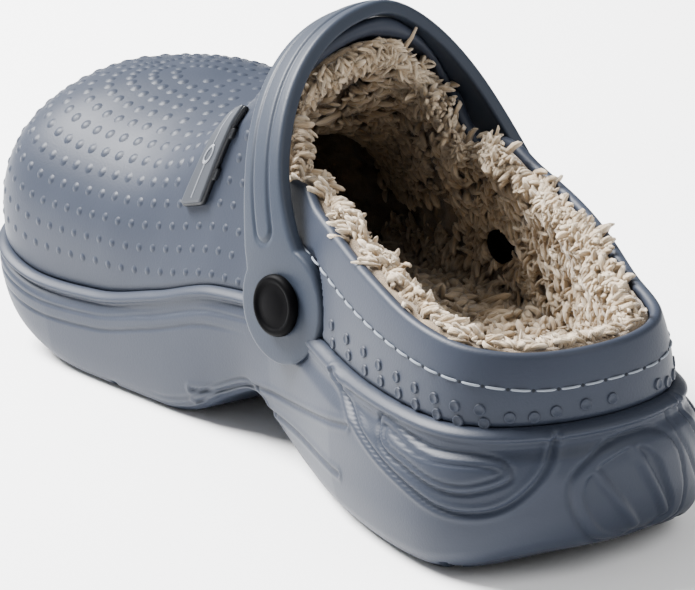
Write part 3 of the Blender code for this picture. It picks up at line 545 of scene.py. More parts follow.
def treadLift(flat):
    # how far a point of the underside is inside a groove, 0 to 1
    x, y = flat[..., 0], flat[..., 1]
    lift = np.zeros(x.shape)
    for share, half in clog["tread"]:
        near = smooth((clog["treadHalf"] - abs(y - share * clog["length"])) / clog["treadSoft"])
        end = smooth(1 - (abs(x - middle(share)) - half * clog["ballWidth"]) / clog["treadEnd"])
        lift = np.maximum(lift, near * end)
    return lift


def notchLift(flat):
    # the same for the notches of the heel's rear edge
    lift = np.zeros(flat.shape[:-1])
    for share in clog["heelNotches"]:
        near = smooth((clog["notchHalf"] - abs(flat[..., 0] - share * clog["ballWidth"])) / clog["treadSoft"])
        lift = np.maximum(lift, near * (flat[..., 1] < clog["notchReach"]))
    return lift


def soleSide(turn, part):
    # the side: the outline pushed out by the side's profile, heel, ball and toe blended, with the relief on top
    base = plan(turn)
    share = base[..., 1] / clog["length"]
    low, high = column("edge", share) * clog["toeSpring"], level("valley", base)
    heel, toe = ramp(share, *clog["heelShares"]), ramp(share, *clog["toeShares"])
    back, fore, front = (column("side", part, k) for k in (1, 2, 3))
    bulge = back * clog["heelBulge"] * heel + (fore + (front - fore) * toe) * clog["foreBulge"] * (1 - heel)
    z = low + (high - low) * part
    bulge = bulge + 0.001 * relief(turn, z * 1000, low * 1000, high * 1000) * smooth(part / 0.06)
    flat = base + outward(turn) * bulge[..., None]
    lifted = np.maximum(z, low + clog["treadDepth"] * treadLift(flat))
    return atHeight(flat, np.maximum(lifted, clog["notchHeight"] * notchLift(flat)))


def makeSole():
    # rows from the middle of the underside to its edge, up the side and in over the top to the footbed's middle
    loop, split = loopTurns(sole["columns"], clog["openTurn"])[0], sole["lowPart"]
    parts = np.concatenate([np.linspace(0, split, sole["lowRows"] + 1)[:-1],
                            np.linspace(split, 1.0, sole["sideRows"] - sole["lowRows"])])
    side = soleSide(*np.broadcast_arrays(loop[None, :], parts[:, None]))
    base, out, centre = plan(loop), outward(loop), spine(plan(loop))
    flat = centre + (side[0, :, :2] - centre) * np.array(sole["underRows"])[:, None, None]
    z = column("edge", flat[..., 1] / clog["length"]) * clog["toeSpring"] + clog["treadDepth"] * treadLift(flat)
    under = atHeight(flat, np.maximum(z, clog["notchHeight"] * notchLift(flat)))
    top = [atHeight(base - out * inset, level("valley", base) - drop) for inset, drop in sole["lipRows"]]
    top.append(atHeight(base - out * sole["footInset"], level("footbed", base) - sole["footGap"]))
    for part in sole["footParts"]:
        flat = centre + (base - centre) * part
        top.append(atHeight(flat, level("footbed", flat) - sole["footGap"]))
    rows = np.concatenate([under, side, np.array(top)])
    makePiece("shellSole", "foam_shell", foam, rows, gridQuads(len(rows), len(loop)), nodes=("clog_shell",))


# the strap's line, which the upper is pressed in for
strap = {
    "width": 0.0165, "thickness": 0.0045, "disc": 0.0170, "pivotHeight": 0.0510, "pivotShare": 0.4045, "lean": 0.483,
    "yaw": 8.9, "twist": -7.5, "medial": 0.0534, "lateral": 0.0325, "rise": 0.0653, "middle": 0.01444,
    "powers": (0.95, 1.137), "smoothing": 40, "stations": (47, 341), "neckReach": 2.4, "neckShare": 0.75,
    "ends": (0.975, 0.90, 0.78, 0.62, 0.42, 0.2), "fineEnds": np.linspace(0.995, 0.03, 30),
    "topSoft": 0.0015, "underSoft": 0.0008, "crown": 0.0003,
    "grooveHalf": 0.0034, "grooveWidth": 0.0006, "grooveDepth": 0.0005, "grooveStart": 0.021,
    "padHigh": 0.0002, "padSoft": 0.0012,
}


def hoop(stations, ends):
    # the strap's inner face from the medial to the lateral pivot: a bowed arch with powers of the cosine for its run
    # and the sine for its rise, smoothed and made straight over the discs, leaned, turned and twisted into place;
    # gives points, outward, width direction, distance run and the whole length
    angle = np.linspace(0, math.pi, 241)
    near = np.cos(angle) > 0
    run = -np.sign(np.cos(angle)) * np.abs(np.cos(angle)) ** np.where(near, *strap["powers"])
    run = run * np.where(near, strap["medial"], strap["lateral"])
    path = np.stack([run, np.sin(angle) * strap["rise"] * math.hypot(1, strap["lean"])], -1)
    for _ in range(strap["smoothing"]):
        path[1:-1] = path[1:-1] * 0.5 + (path[:-2] + path[2:]) * 0.25
    run = np.concatenate([[0], np.cumsum(np.linalg.norm(np.diff(path, axis=0), axis=1))])
    total, disc = run[-1], strap["disc"]
    ends = disc * np.array(ends)
    at = np.concatenate([-ends, np.linspace(0, total, stations), total + ends[::-1]])
    flat = np.stack([np.interp(at, run, path[:, k]) for k in (0, 1)], -1)
    for end, mark, sign in ((0.0, disc, 1), (total, total - disc, -1)):
        origin, far = (np.array([np.interp(place, run, path[:, k]) for k in (0, 1)]) for place in (end, mark))
        close = (at - end) * sign < disc
        flat[close] = origin + (far - origin) / disc * ((at[close] - end) * sign)[:, None]
    step = unit(np.gradient(flat, at, axis=0))
    yaw, twist = math.radians(strap["yaw"]), math.radians(strap["twist"])
    across, along = np.array([math.cos(yaw), math.sin(yaw), 0.0]), np.array([-math.sin(yaw), math.cos(yaw), 0.0])
    up = (along * strap["lean"] + np.array([0.0, 0.0, 1.0])) / math.hypot(1, strap["lean"])
    through = np.cross(up, across)
    origin = np.array([strap["middle"], strap["pivotShare"] * clog["length"], strap["pivotHeight"]])
    base = origin + flat[:, :1] * across + flat[:, 1:] * up
    out = -step[:, 1:] * across + step[:, :1] * up
    width = -through * math.cos(twist) + out * math.sin(twist)
    return base, out * math.cos(twist) + through * math.sin(twist), width, at, total


coarseHoop, fineHoop = hoop(strap["stations"][0], strap["ends"]), hoop(strap["stations"][1], strap["fineEnds"])
endCount = len(strap["ends"])
pivots = [(coarseHoop[0][k], coarseHoop[1][k]) for k in (endCount, -1 - endCount)]


def halfWidth(away):
    # half the strap's width: the disc's circle, or the band widening towards it
    disc, band = strap["disc"], strap["width"] / 2
    circle = np.sqrt(np.clip(disc ** 2 - away ** 2, 0, None))
    neck = band + (disc - band) * strap["neckShare"] * np.clip(1 - away / (strap["neckReach"] * disc), 0, 1) ** 2
    return np.where(away > 0, np.maximum(circle, neck), circle)


def fromAxis(points, centre, axis):
    # height along a pivot's axis, and distance from it
    away = points - centre
    high = away @ axis
    return high, np.linalg.norm(away - high[..., None] * axis, axis=-1)


# the upper: the wall of foam, and later the fleece base under it, made by one function
upper = {"columns": 900, "mark": clog["openTurn"], "rows": 40, "rowsVamp": 30, "rowsInner": 12, "footLift": 0.002,
         "footIn": 0.0035, "sink": 0.0012, "roll": 0.95, "rollRows": 7,
         "rimLift": 0.0030, "rimWidth": 0.009, "rimAngle": (0.85, 1.25), "crease": 0.0006, "creaseWidth": 0.8}
seat = {"sink": 0.0004, "discMargin": 0.0018, "discSoft": 0.0010, "reach": 0.03,
        "bandMargin": 0.0011, "bandSoft": 0.0008, "bandReach": 0.009, "span": (0.085, 0.19), "batch": 4000}


def pressed(points):
    # pressed in under the strap: flat seats round the rivets and a shallow bed along the band
    points = points.copy()
    for centre, axis in pivots:
        high, away = fromAxis(points, centre, axis)
        inside = smooth((strap["disc"] + seat["discMargin"] - away) / seat["discSoft"]) * (high < seat["reach"])
        points -= (np.clip(high + seat["sink"], 0, None) * inside)[..., None] * axis
    base, out, width, at, total = fineHoop
    half = halfWidth(np.minimum(at, total - at)) + seat["bandMargin"]
    flat = points.reshape(-1, 3)
    near = np.flatnonzero((flat[:, 1] > seat["span"][0]) & (flat[:, 1] < seat["span"][1]))
    for start in range(0, len(near), seat["batch"]):
        pick = near[start:start + seat["batch"]]
        away = flat[pick][:, None] - base[None]
        w, h = np.einsum("ijk,jk->ij", away, width), np.einsum("ijk,jk->ij", away, out)
        k = np.argmin(np.einsum("ijk,ijk->ij", away, away) - w ** 2, axis=1)
        row = np.arange(len(pick))
        h, w = h[row, k], w[row, k]
        amount = np.clip(h + seat["sink"], 0, seat["bandReach"]) * smooth((half[k] - abs(w)) / seat["bandSoft"])
        flat[pick] -= amount[:, None] * out[k]
    return flat.reshape(points.shape)


def sheetSolid(name, slot, node, material, shape, lifts, press=False, puff=None, fields=None):
    # a closed wall along the upper: its outer and inner sheets are outer() moved along the normals by the two lifts,
    # joined at the foot, and round the opening by a half round roll; gives the roll's two edges and its direction
    loop, first = loopTurns(shape["columns"], shape["mark"])
    count, climb = len(loop), shape["rowsVamp"]
    collar, mirror = collarTheta(loop), (len(loop) - np.arange(len(loop))) % len(loop)

    def sheet(rows, lift):
        below = collar[None] * (np.linspace(0, 1, rows + 1)[:, None] ** 1.1)
        ahead = collar[None] + (math.pi / 2 - collar[None]) * np.linspace(0, 1, climb + 1)[1:, None]
        theta = np.concatenate([below, ahead])
        turn = np.broadcast_to(loop[None], theta.shape)
        points = outer(turn, theta)
        points = points + normals(turn, theta) * lift(turn, theta, points)[..., None]
        points[-1] = (points[-1] + points[-1][mirror]) / 2
        return points

    outside, inside = sheet(shape["rows"], lifts[0]), sheet(shape["rowsInner"], lifts[1])
    if press:
        outside = pressed(outside)
    base, out = plan(loop), outward(loop)
    foot = level("footbed", base) + shape["footLift"]
    if "footOut" in shape:
        hem = atHeight(base - out * shape["footOut"], foot)
    else:
        hem = outside[0] - atHeight(out * shape["sink"], shape["sink"])
    outside = np.concatenate([hem[None], outside])
    inside = np.concatenate([atHeight(base - out * shape["footIn"], foot)[None], inside])
    points = np.concatenate([outside.reshape(-1, 3), inside.reshape(-1, 3)])
    startIn, topOut, topIn = outside.shape[0] * count, shape["rows"] + 1, shape["rowsInner"] + 1
    vamp = np.minimum(np.arange(count), count - np.arange(count)) >= first
    both = vamp & np.roll(vamp, -1)

    def faces(start, top, rows):
        # all round up to the collar's row, and over the vamp alone above it
        over = gridQuads(rows - top, count, start + top * count).reshape(rows - top - 1, count, 4)
        return np.concatenate([gridQuads(top + 1, count, start), over[:, both].reshape(-1, 4)])

    quads = [faces(0, topOut, len(outside)), faces(startIn, topIn, len(inside))[:, ::-1]]
    a = np.arange(count)
    quads.append(np.stack([startIn + a, startIn + (a + 1) % count, (a + 1) % count, a], -1))
    # the opening's edge as one closed loop: round the collar, then over the vamp
    cols = np.concatenate([np.arange(count - first, count), np.arange(0, first + 1)])
    up = np.arange(1, climb + 1)
    row = np.concatenate([np.zeros(len(cols), int), up, up[::-1][1:]])
    col = np.concatenate([cols, np.full(climb, first), np.full(climb - 1, count - first)])
    edgeOut, edgeIn = (topOut + row) * count + col, startIn + (topIn + row) * count + col
    o, n = points[edgeOut], points[edgeIn]
    # the roll bulges away from the sheet's last row, or from the column beside it on the vamp
    beside = np.where(row == 0, 0, np.where(col == first, 1, -1))
    before = points[(topOut - 1 + row) * count + col]
    aside = points[(topOut + row) * count + (col + beside) % count]
    way = unit(np.where((row == 0)[:, None], o - before, o - aside))
    for _ in range(6):
        way = (way + np.roll(way, 1, axis=0) + np.roll(way, -1, axis=0)) / 3
    way = unit(way)
    size = np.linalg.norm(o - n, axis=1, keepdims=True) / 2 * shape["roll"]
    roll = []
    for angle in math.pi * np.arange(1, shape["rollRows"]) / shape["rollRows"]:
        bulge = size * math.sin(angle) + (puff(o)[:, None] if puff else 0)
        roll.append((o + n) / 2 + (o - n) / 2 * math.cos(angle) + way * bulge)
    rings = [len(points) + np.arange(len(o)) + k * len(o) for k in range(len(roll))]
    ring = np.array([edgeOut] + rings + [edgeIn])
    after = np.roll(ring, -1, axis=1)
    quads.append(np.stack([ring[:-1], after[:-1], after[1:], ring[1:]], -1).reshape(-1, 4))
    points = np.concatenate([points] + roll)
    makePiece(name, slot, material, points, np.concatenate(quads), nodes=(node,),
              fields=fields(points) if fields else None)
    return o, n, way


def steady(depth):
    # a lift that is the same everywhere
    return lambda turn, theta, points: np.full(theta.shape, depth)


def upperLift(turn, theta, points):
    # raised to the strap at the rim, and a crease along the valley line
    over = (points[..., 2] - level("valley", plan(turn))) * 1000
    rim = np.exp(-((points[..., 1] - clog["rimShare"] * clog["length"]) / upper["rimWidth"]) ** 2)
    rim = upper["rimLift"] * rim * smooth(ramp(theta, *upper["rimAngle"]))
    return rim - upper["crease"] * np.exp(-(over / upper["creaseWidth"]) ** 2)


def makeUpper():
    sheetSolid("shellUpper", "foam_shell", "clog_shell", foam, upper, (upperLift, steady(-clog["wall"])), press=True)


def arc(start, end):
    # sine and cosine at five steps between two angles
    angles = np.radians(np.linspace(start, end, 5))
    return zip(np.sin(angles), np.cos(angles))


def makeStrap():
    # the strap's section carried along its line: a crowned top with the groove's track, round edges, a flat back
    base, out, width, at, total = fineHoop
    half = halfWidth(np.minimum(at, total - at))
    high, soft, under = strap["thickness"], np.minimum(strap["topSoft"], half * 0.4), strap["underSoft"]
    beyond = np.clip(np.maximum(strap["grooveStart"] - at, at - (total - strap["grooveStart"])), 0, None)
    profile = []
    for f in np.linspace(-1, 1, 57):
        away = np.hypot(beyond, f * (half - soft)) - strap["grooveHalf"]
        groove = strap["grooveDepth"] * np.exp(-(away / strap["grooveWidth"]) ** 2)
        pad = strap["padHigh"] * smooth(-away / strap["padSoft"])
        profile.append((f * (half - soft), high - strap["crown"] * f * f - groove + pad))
    edge = [(half - soft + soft * s, high - strap["crown"] - soft + soft * c) for s, c in arc(18, 90)]
    edge += [(half - under + under * s, np.full(half.shape, under + under * c)) for s, c in arc(90, 180)]
    back = [((half - under) * f, half * 0) for f in np.linspace(1, -1, 13)[1:-1]]
    profile += edge + back + [(-w, h) for w, h in edge[::-1]]
    rows = np.array([base + width * w[:, None] + out * h[:, None] for w, h in profile])
    cols, count = len(profile), len(base)
    points = rows.transpose(1, 0, 2).reshape(-1, 3)
    ends = np.array([points[:cols].mean(0), points[-cols:].mean(0)])
    a, b, last = np.arange(cols), (np.arange(cols) + 1) % cols, (count - 1) * cols
    tris = np.concatenate([np.stack([np.full(cols, len(points)), b, a], -1),
                           np.stack([np.full(cols, len(points) + 1), a + last, b + last], -1)])
    makePiece("heelStrap", "foam_strap", strapFoam, np.concatenate([points, ends]), gridQuads(count, cols), tris,
              nodes=("heel_strap",))


# rivets: heights along the axis from the strap's inner face
rivet = {"segments": 64, "wall": 0.0060, "pile": 0.0055, "cap": 0.0050, "shaft": 0.0040, "head": 0.0088,
         "base": 0.0048, "flange": 0.0012, "capHigh": 0.0016,
         # height over the cap's back, share of its radius; height over the head's foot, how far in from its radius
         "capRows": ((-0.0003, 0.0), (-0.0002, 0.5), (0.0, 0.8), (0.0008, 1.0)),
         "headRows": ((0.0, 0.0004), (0.0004, 0.0), (0.0013, 0.0), (0.0020, 0.0003), (0.0025, 0.0009),
                      (0.0026, 0.0014), (0.0025, 0.0019), (0.0021, 0.0023), (0.0020, 0.0028), (0.0024, 0.0048),
                      (0.0026, 0.0066), (0.0027, 0.0088))}


def lathe(centre, axis, profile, segments):
    # a profile of height and radius turned round an axis
    side = unit(np.cross(axis, (0.0, 1.0, 0.0)))
    angle = np.arange(segments) * 2 * math.pi / segments
    ring = np.cos(angle)[:, None] * side + np.sin(angle)[:, None] * np.cross(axis, side)
    points = np.concatenate([centre + axis * h + ring * max(r, 1e-7) for h, r in profile])
    return points, gridQuads(len(profile), segments)


def makeRivets():
    flange = -rivet["wall"] - rivet["flange"]
    back = -(rivet["wall"] + rivet["pile"] + rivet["capHigh"])
    profile = [(back + h, rivet["cap"] * r) for h, r in rivet["capRows"]]
    profile += [(flange, rivet["cap"]), (flange, rivet["shaft"]), (rivet["base"], rivet["shaft"])]
    profile += [(rivet["base"] + h, rivet["head"] - r) for h, r in rivet["headRows"]]
    rivetBlack = plainMaterial("rivetBlack")
    for name, node, (centre, axis) in zip(("rivetMedial", "rivetLateral"), ("rivet_medial", "rivet_lateral"), pivots):
        makePiece(name, "rivet_black", rivetBlack, *lathe(centre, axis, profile, rivet["segments"]), nodes=(node,))


# the badge: a plain plate with a dark edge, two lugs, a line and a ring
badge = {"turn": 257.5, "angle": 37.5, "long": 0.0135, "wide": 0.0058, "tilt": 12.0, "high": 0.0021, "rise": 0.0004,
         "lip": 0.0008, "lugs": (-0.0062, 0.0052), "lugHalf": 0.0016, "lineBand": (-0.00085, -0.00025),
         "lineSpans": ((-0.01215, -0.0026), (0.0026, 0.01215)), "lineHigh": 0.00016,
         "ring": ((0.0019, -0.0003), (0.00195, 0.0002), (0.0022, 0.00030), (0.0026, 0.00030), (0.0028, 0.0002),
                  (0.00285, -0.0003)), "ringSides": 48, "ringFlat": 0.85, "ringAside": -0.0005}


def badgePoint(a, b, high):
    # a point over the upper: a up the vamp and b across it from the badge's middle, turned by its tilt
    angle = math.radians(badge["angle"])
    here = outer(badge["turn"], angle)
    across = np.linalg.norm((outer(badge["turn"] + 0.5, angle) - here) * 2)
    along = np.linalg.norm((outer(badge["turn"], angle + 0.02) - here) / 0.02)
    c, s = math.cos(math.radians(badge["tilt"])), math.sin(math.radians(badge["tilt"]))
    turn, theta = badge["turn"] + (b * c + a * s) / across, angle + (a * c - b * s) / along
    return outer(turn, theta) + normals(turn, theta) * high[..., None]


def plate(spanA, spanB, low, high, rows, cols, edge, corner):
    # a slab over the upper: a grid whose heights round off at the edge and whose corners are round, and its foot
    u, v = np.meshgrid(np.linspace(-1, 1, rows), np.linspace(-1, 1, cols), indexing="ij")
    halfA, halfB = (spanA[1] - spanA[0]) / 2, (spanB[1] - spanB[0]) / 2
    over = np.clip((abs(u) - (1 - corner / halfA)) / (corner / halfA), 0, 1)
    halfB = halfB - corner * (1 - np.sqrt(1 - over ** 2 * 0.999))
    a, b = sum(spanA) / 2 + u * halfA, sum(spanB) / 2 + v * halfB
    rim = np.minimum(halfA * (1 - abs(u)), halfB * (1 - abs(v)))
    top = high - edge * (1 - np.sqrt(np.clip(1 - (1 - np.clip(rim / edge, 0, 1)) ** 2, 0, 1)))
    points = np.concatenate([badgePoint(a, b, z).reshape(-1, 3) for z in (top, np.full(a.shape, low))])
    size = rows * cols
    quads = [gridQuads(rows, cols, 0, False), gridQuads(rows, cols, size, False)[:, ::-1]]
    i, k = np.arange(rows), np.arange(cols)
    ring = np.concatenate([i[:-1] * cols, (rows - 1) * cols + k[:-1], i[:0:-1] * cols + cols - 1, k[:0:-1]])
    after = np.roll(ring, -1)
    quads.append(np.stack([ring, after, after + size, ring + size], -1))
    return points, np.concatenate(quads)


def join(pieces):
    # several (points, quads) as one
    starts = np.cumsum([0] + [len(p) for p, _ in pieces[:-1]])
    return np.concatenate([p for p, _ in pieces]), np.concatenate([q + s for (_, q), s in zip(pieces, starts)])


def makeBadge():
    long, wide, high, lip = badge["long"], badge["wide"], badge["high"] + badge["rise"], badge["lip"]
    top = plate((-long, long), (-wide, wide - lip), 0.0006, high, 61, 31, 0.0005, 0.0009)
    makePiece("badgePlate", "badge_grey", plainMaterial("badgeDark"), *top, nodes=("badge_plate",))
    parts = [plate((-long - 0.0006, long), (-wide, wide), 0.0003, badge["high"] - 0.0003, 61, 31, 0.0006, 0.0012)]
    for a in badge["lugs"]:
        span = (a - badge["lugHalf"], a + badge["lugHalf"])
        parts.append(plate(span, (wide - 0.0004, wide + 0.0013), 0.0002, 0.0016, 15, 9, 0.0005, 0.0006))
    makePiece("badgeEdge", "badge_grey", plainMaterial("badgeEdge"), *join(parts), nodes=("badge_plate",))
    lines = [plate(span, badge["lineBand"], high - 0.0004, high + badge["lineHigh"], 31, 7, 0.0002, 0.0002)
             for span in badge["lineSpans"]]
    sides, rings = badge["ringSides"], len(badge["ring"])
    angle = np.linspace(0, 2 * math.pi, sides + 1)[:-1]
    rows = [badgePoint(r * np.cos(angle), r * np.sin(angle) * badge["ringFlat"] + badge["ringAside"],
                       np.full(sides, high + h)) for r, h in badge["ring"]]
    a, b, last = np.arange(sides), (np.arange(sides) + 1) % sides, (rings - 1) * sides
    shut = np.stack([last + a, last + b, b, a], -1)
    lines.append((np.array(rows).reshape(-1, 3), np.concatenate([gridQuads(rings, sides), shut])))
    makePiece("badgeLine", "badge_grey", plainMaterial("badgeLine"), *join(lines))


# buttons of the heel and domes of the vamp; places are turn and height in millimetres, shapes radius and height
dots = {
    "rowA": ((292.5, 52.2), (297.6, 51.7), (303.1, 51.6), (307.8, 50.7), (313.3, 50.3), (318.9, 49.8), (324.9, 49.1),
             (330.8, 48.4), (337.0, 48.2)),
    "rowB": ((292.9, 47.3), (298.3, 47.6), (303.5, 46.7), (308.5, 46.6), (314.0, 46.2), (319.2, 45.5), (325.7, 45.0),
             (331.6, 44.5), (337.9, 44.7), (343.2, 46.2), (347.7, 46.0), (351.6, 47.0), (356.9, 47.7), (362.0, 47.7)),
    "mirrorA": 363.0, "mirrorB": 365.0, "mirrorTo": 356.0, "heelRadius": 0.0017, "heelHigh": 0.00050,
    "button": ((1.0, -0.5), (0.93, 0.8), (0.78, 1.0), (0.6, 0.6), (0.0, 0.5)),
    "dome": ((1.0, -0.14), (0.84, 0.12), (0.62, 0.52), (0.32, 0.88), (0.0, 1.0)),
    "rows": 14, "pitch": 6.3, "rowPitch": 6.9, "start": 0.8, "ridgeGap": 2.6,
    # small and low on the sides, larger on the top, by the angle
    "radii": (0.0014, 0.0019), "heights": (0.00035, 0.00046), "growAngles": (0.35, 0.85),
    "firstShare": (0.50, 0.59, 0.655, 0.72, 0.79, 1.0), "firstRun": (2.4, 4.8, 6.5, 9.2, 9.7, 9.0),
    "rearHigh": (44.0, 46.1, 56.4, 69.2, 79.9, 90.0, 110.0),
    "rearTurn": (268.6, 268.4, 266.9, 265.0, 264.2, 262.7, 260.5),
    "badgeGap": 0.003, "badgeSide": 0.0034, "discGap": 0.003,
}


def caps(turn, theta, radius, high, segments, shape):
    # a small round cap on the upper at each turn and angle: rings of the shape's radius and height about the normal
    base, n = outer(turn, theta), normals(turn, theta)
    t = outer(turn + 0.4, theta) - base
    t = unit(t - np.einsum("ij,ij->i", t, n)[:, None] * n)
    s = np.cross(n, t)
    angle = np.arange(segments) * 2 * math.pi / segments
    ring = np.cos(angle)[None, :, None] * t[:, None] + np.sin(angle)[None, :, None] * s[:, None]
    rows = [base[:, None] + ring * (radius * max(r, 1e-6))[:, None, None] + (n * (high * h)[:, None])[:, None]
            for r, h in shape]
    size = len(shape) * segments
    return np.stack(rows, 1).reshape(-1, 3), repeated(gridQuads(len(shape), segments), len(turn), size)


def vampDots():
    # rows at even distances up the meridians from the lowest one, dots at an even pitch along them, staggered
    turn, theta = np.linspace(90.0, 270.0, 1441), np.linspace(0, math.pi / 2, 181)
    step = np.linalg.norm(np.diff(outer(turn[None], theta[:, None]), axis=0), axis=-1)
    run = 1000 * np.concatenate([np.zeros((1, len(turn))), np.cumsum(step, axis=0)])
    first = np.interp(plan(turn)[:, 1] / clog["length"], dots["firstShare"], dots["firstRun"])
    found = []
    for k in range(dots["rows"]):
        want = first + k * dots["rowPitch"]
        at = np.array([np.interp(w, run[:, i], theta, right=np.nan) for i, w in enumerate(want)])
        ok = (want < run[-1] - dots["ridgeGap"]) & np.isfinite(at)
        points = outer(turn, np.where(ok, at, 0.5))
        limit = np.interp(points[:, 2] * 1000, dots["rearHigh"], dots["rearTurn"])
        ok &= (turn < limit) & (turn > 360 - limit)
        for part in np.split(np.arange(len(turn)), np.flatnonzero(np.diff(ok.astype(int)) != 0) + 1):
            if not ok[part[0]] or len(part) < 6:
                continue
            step = np.linalg.norm(np.diff(points[part], axis=0), axis=1) * 1000
            along = np.concatenate([[0], np.cumsum(step)])[::-1]
            places = np.arange(dots["start"] + (k % 2) * dots["pitch"] / 2, along.max(), dots["pitch"])
            order = np.argsort(along)
            found.append(np.stack([np.interp(places, along[order], v[part][order]) for v in (turn, at)], -1))
    found = np.concatenate(found)
    # none under the badge or the strap's discs
    spots, centre = outer(found[:, 0], found[:, 1]), outer(badge["turn"], math.radians(badge["angle"]))
    tip = badgePoint(np.array([badge["long"]]), np.array([0.0]), np.array([0.0]))[0]
    up, side = fromAxis(spots, centre, unit(tip - centre))
    free = ~((abs(up) < badge["long"] + dots["badgeGap"]) & (side < badge["wide"] + dots["badgeSide"]))
    for centre, axis in pivots:
        free &= fromAxis(spots, centre, axis)[1] > strap["disc"] + dots["discGap"]
    return found[free]


def makeDots():
    heel = []
    for name, mirror in (("rowA", dots["mirrorA"]), ("rowB", dots["mirrorB"])):
        row = np.array(dots[name])
        heel += [row, np.stack([mirror - row[:, 0], row[:, 1]], -1)[row[:, 0] < dots["mirrorTo"]]]
    heel = np.concatenate(heel)
    turn, each = np.mod(heel[:, 0], 360), np.ones(len(heel))
    buttons = caps(turn, thetaAt(turn, heel[:, 1] / 1000), each * dots["heelRadius"], each * dots["heelHigh"], 14,
                   dots["button"])
    makePiece("heelDots", "foam_shell", foam, *buttons)
    turn, theta = vampDots().T
    grow = smooth(ramp(theta, *dots["growAngles"]))
    radius, high = (low + (top - low) * grow for low, top in (dots["radii"], dots["heights"]))
    makePiece("vampDots", "foam_shell", foam, *caps(turn, theta, radius, high, 12, dots["dome"]))


# the stitched line round the collar: turn and height in millimetres, mirrored behind the heel
stitch = {
    "line": ((276.0, 69.5), (284.6, 66.1), (299.9, 60.4), (317.1, 57.0), (337.1, 54.7), (352.4, 52.9), (364.4, 53.1)),
    "span": (276.0, 444.0), "mirror": 362.0, "pitch": 6.75, "length": 6.0, "start": 0.5,
    "radius": 0.00034, "rows": 9, "sides": 8,
    "bow": 1.7, "sink": 0.9, "holeRadius": 0.00055, "holeHigh": 0.00012,
    "hole": ((1.0, -0.30), (0.86, 0.25), (0.62, 0.65), (0.32, 0.92), (0.0, 1.0)),
}


def makeStitches():
    # each stitch is a tube along the line, bowed out of the wall at its middle and thin at its ends
    turns, heights = np.array(stitch["line"]).T
    fine = np.linspace(*stitch["span"], 3000)
    fold = np.where(fine > stitch["mirror"], 2 * stitch["mirror"] - fine, fine)
    theta = thetaAt(np.mod(fine, 360), gentle(turns, heights, fold) / 1000)
    points = outer(np.mod(fine, 360), theta)
    run = np.concatenate([[0], np.cumsum(np.linalg.norm(np.diff(points, axis=0), axis=1))]) * 1000
    starts = np.arange(stitch["start"], run[-1] - stitch["pitch"], stitch["pitch"])
    number, rows, sides = len(starts), stitch["rows"], stitch["sides"]
    s = np.linspace(0, 1, rows)
    at = starts[:, None] + s[None] * stitch["length"]
    turn, angle = np.mod(np.interp(at, run, fine), 360), np.interp(at, run, theta)
    n = normals(turn, angle)
    bow = stitch["radius"] * (stitch["bow"] * np.sin(s * math.pi) ** 0.6 - stitch["sink"])
    centre = outer(turn, angle) + n * bow[None, :, None]
    t = unit(np.gradient(centre, axis=1))
    side = np.cross(n, t)
    around = np.arange(sides) * 2 * math.pi / sides
    ring = (np.cos(around)[:, None] * side[:, :, None] + np.sin(around)[:, None] * np.cross(t, side)[:, :, None])
    radius = stitch["radius"] * np.sqrt(np.clip(1 - (2 * s - 1) ** 8, 0.02, 1))
    tube = centre[:, :, None] + ring * radius[None, :, None, None]
    last = (rows - 1) * sides
    ends = np.array([[0, j + 1, j] for j in range(1, sides - 1)]
                    + [[last, last + j, last + j + 1] for j in range(1, sides - 1)])
    makePiece("stitchThread", "foam_shell", plainMaterial("threadGrey"), tube,
              repeated(gridQuads(rows, sides), number, rows * sides), repeated(ends, number, rows * sides))
    # dark caps in the gaps between stitches: painted shade standing in for the holes' shadow
    gapAt, each = starts - (stitch["pitch"] - stitch["length"]) / 2, np.ones(number)
    holes = caps(np.mod(np.interp(gapAt, run, fine), 360), np.interp(gapAt, run, theta),
                 each * stitch["holeRadius"], each * stitch["holeHigh"], 10, stitch["hole"])
    makePiece("stitchHoleShade", "foam_shell", plainMaterial("holeShadePaint"), *holes)


makeSole()
makeUpper()
makeStrap()
makeRivets()
makeBadge()
makeDots()
makeStitches()
print("foam pieces made")


# the fleece: a lumpy base that follows the wall and the footbed, and locks standing on it
fleece = {
    "base": {"columns": 440, "mark": 96.2, "rows": 8, "rowsVamp": 22, "rowsInner": 26, "footLift": 0.0030,
             "footIn": 0.0082, "footOut": 0.0040, "roll": 0.8, "rollRows": 9},
    "depth": 0.0039, "pile": 0.0042, "lump": 0.0012, "puff": 0.0004, "strandScale": 900,
    # scale and weight of the waves that make the lumps, two of each
    "waves": ((260, 1.0), (300, 1.0), (420, 0.8), (480, 0.7), (620, 0.6), (700, 0.5), (900, 0.4)),
    "wavesSeed": 7, "wavesSum": 2.6,
}
insole = {"columns": 300, "inset": 0.0108, "lump": 0.0007, "under": 0.0006, "rim": 0.0048, "top": 0.0062,
          "underParts": (0.0, 0.5, 1.0), "topParts": (0.97, 0.9, 0.8, 0.7, 0.58, 0.46, 0.34, 0.22, 0.1, 0.0)}
waveDraw = np.random.default_rng(fleece["wavesSeed"])
waves = [(waveDraw.normal(0, 1, 3) * scale, waveDraw.uniform(0, 6.3), weight)
         for scale, weight in fleece["waves"] for _ in range(2)]


def lumps(points):
    # a sum of slanted sine waves, about -1 to 1
    return sum(weight * np.sin(points @ slant + phase) for slant, phase, weight in waves) / fleece["wavesSum"]


def shadedBaseFields(points):
    # what the wool material reads on the bases: low on the lock's ramp, so they take the dark painted shade of the
    # pile's depths, and lumpy in tone
    return {"along": 0.18 + 0.12 * lumps(points + 0.3), "tone": 0.3 + 0.2 * lumps(points * 1.7),
            "strand": points * fleece["strandScale"]}


def fleeceInner(turn, theta, points):
    # the pile's face: its depth in from the wall, with lumps
    return -fleece["depth"] - fleece["pile"] + fleece["lump"] * lumps(points)


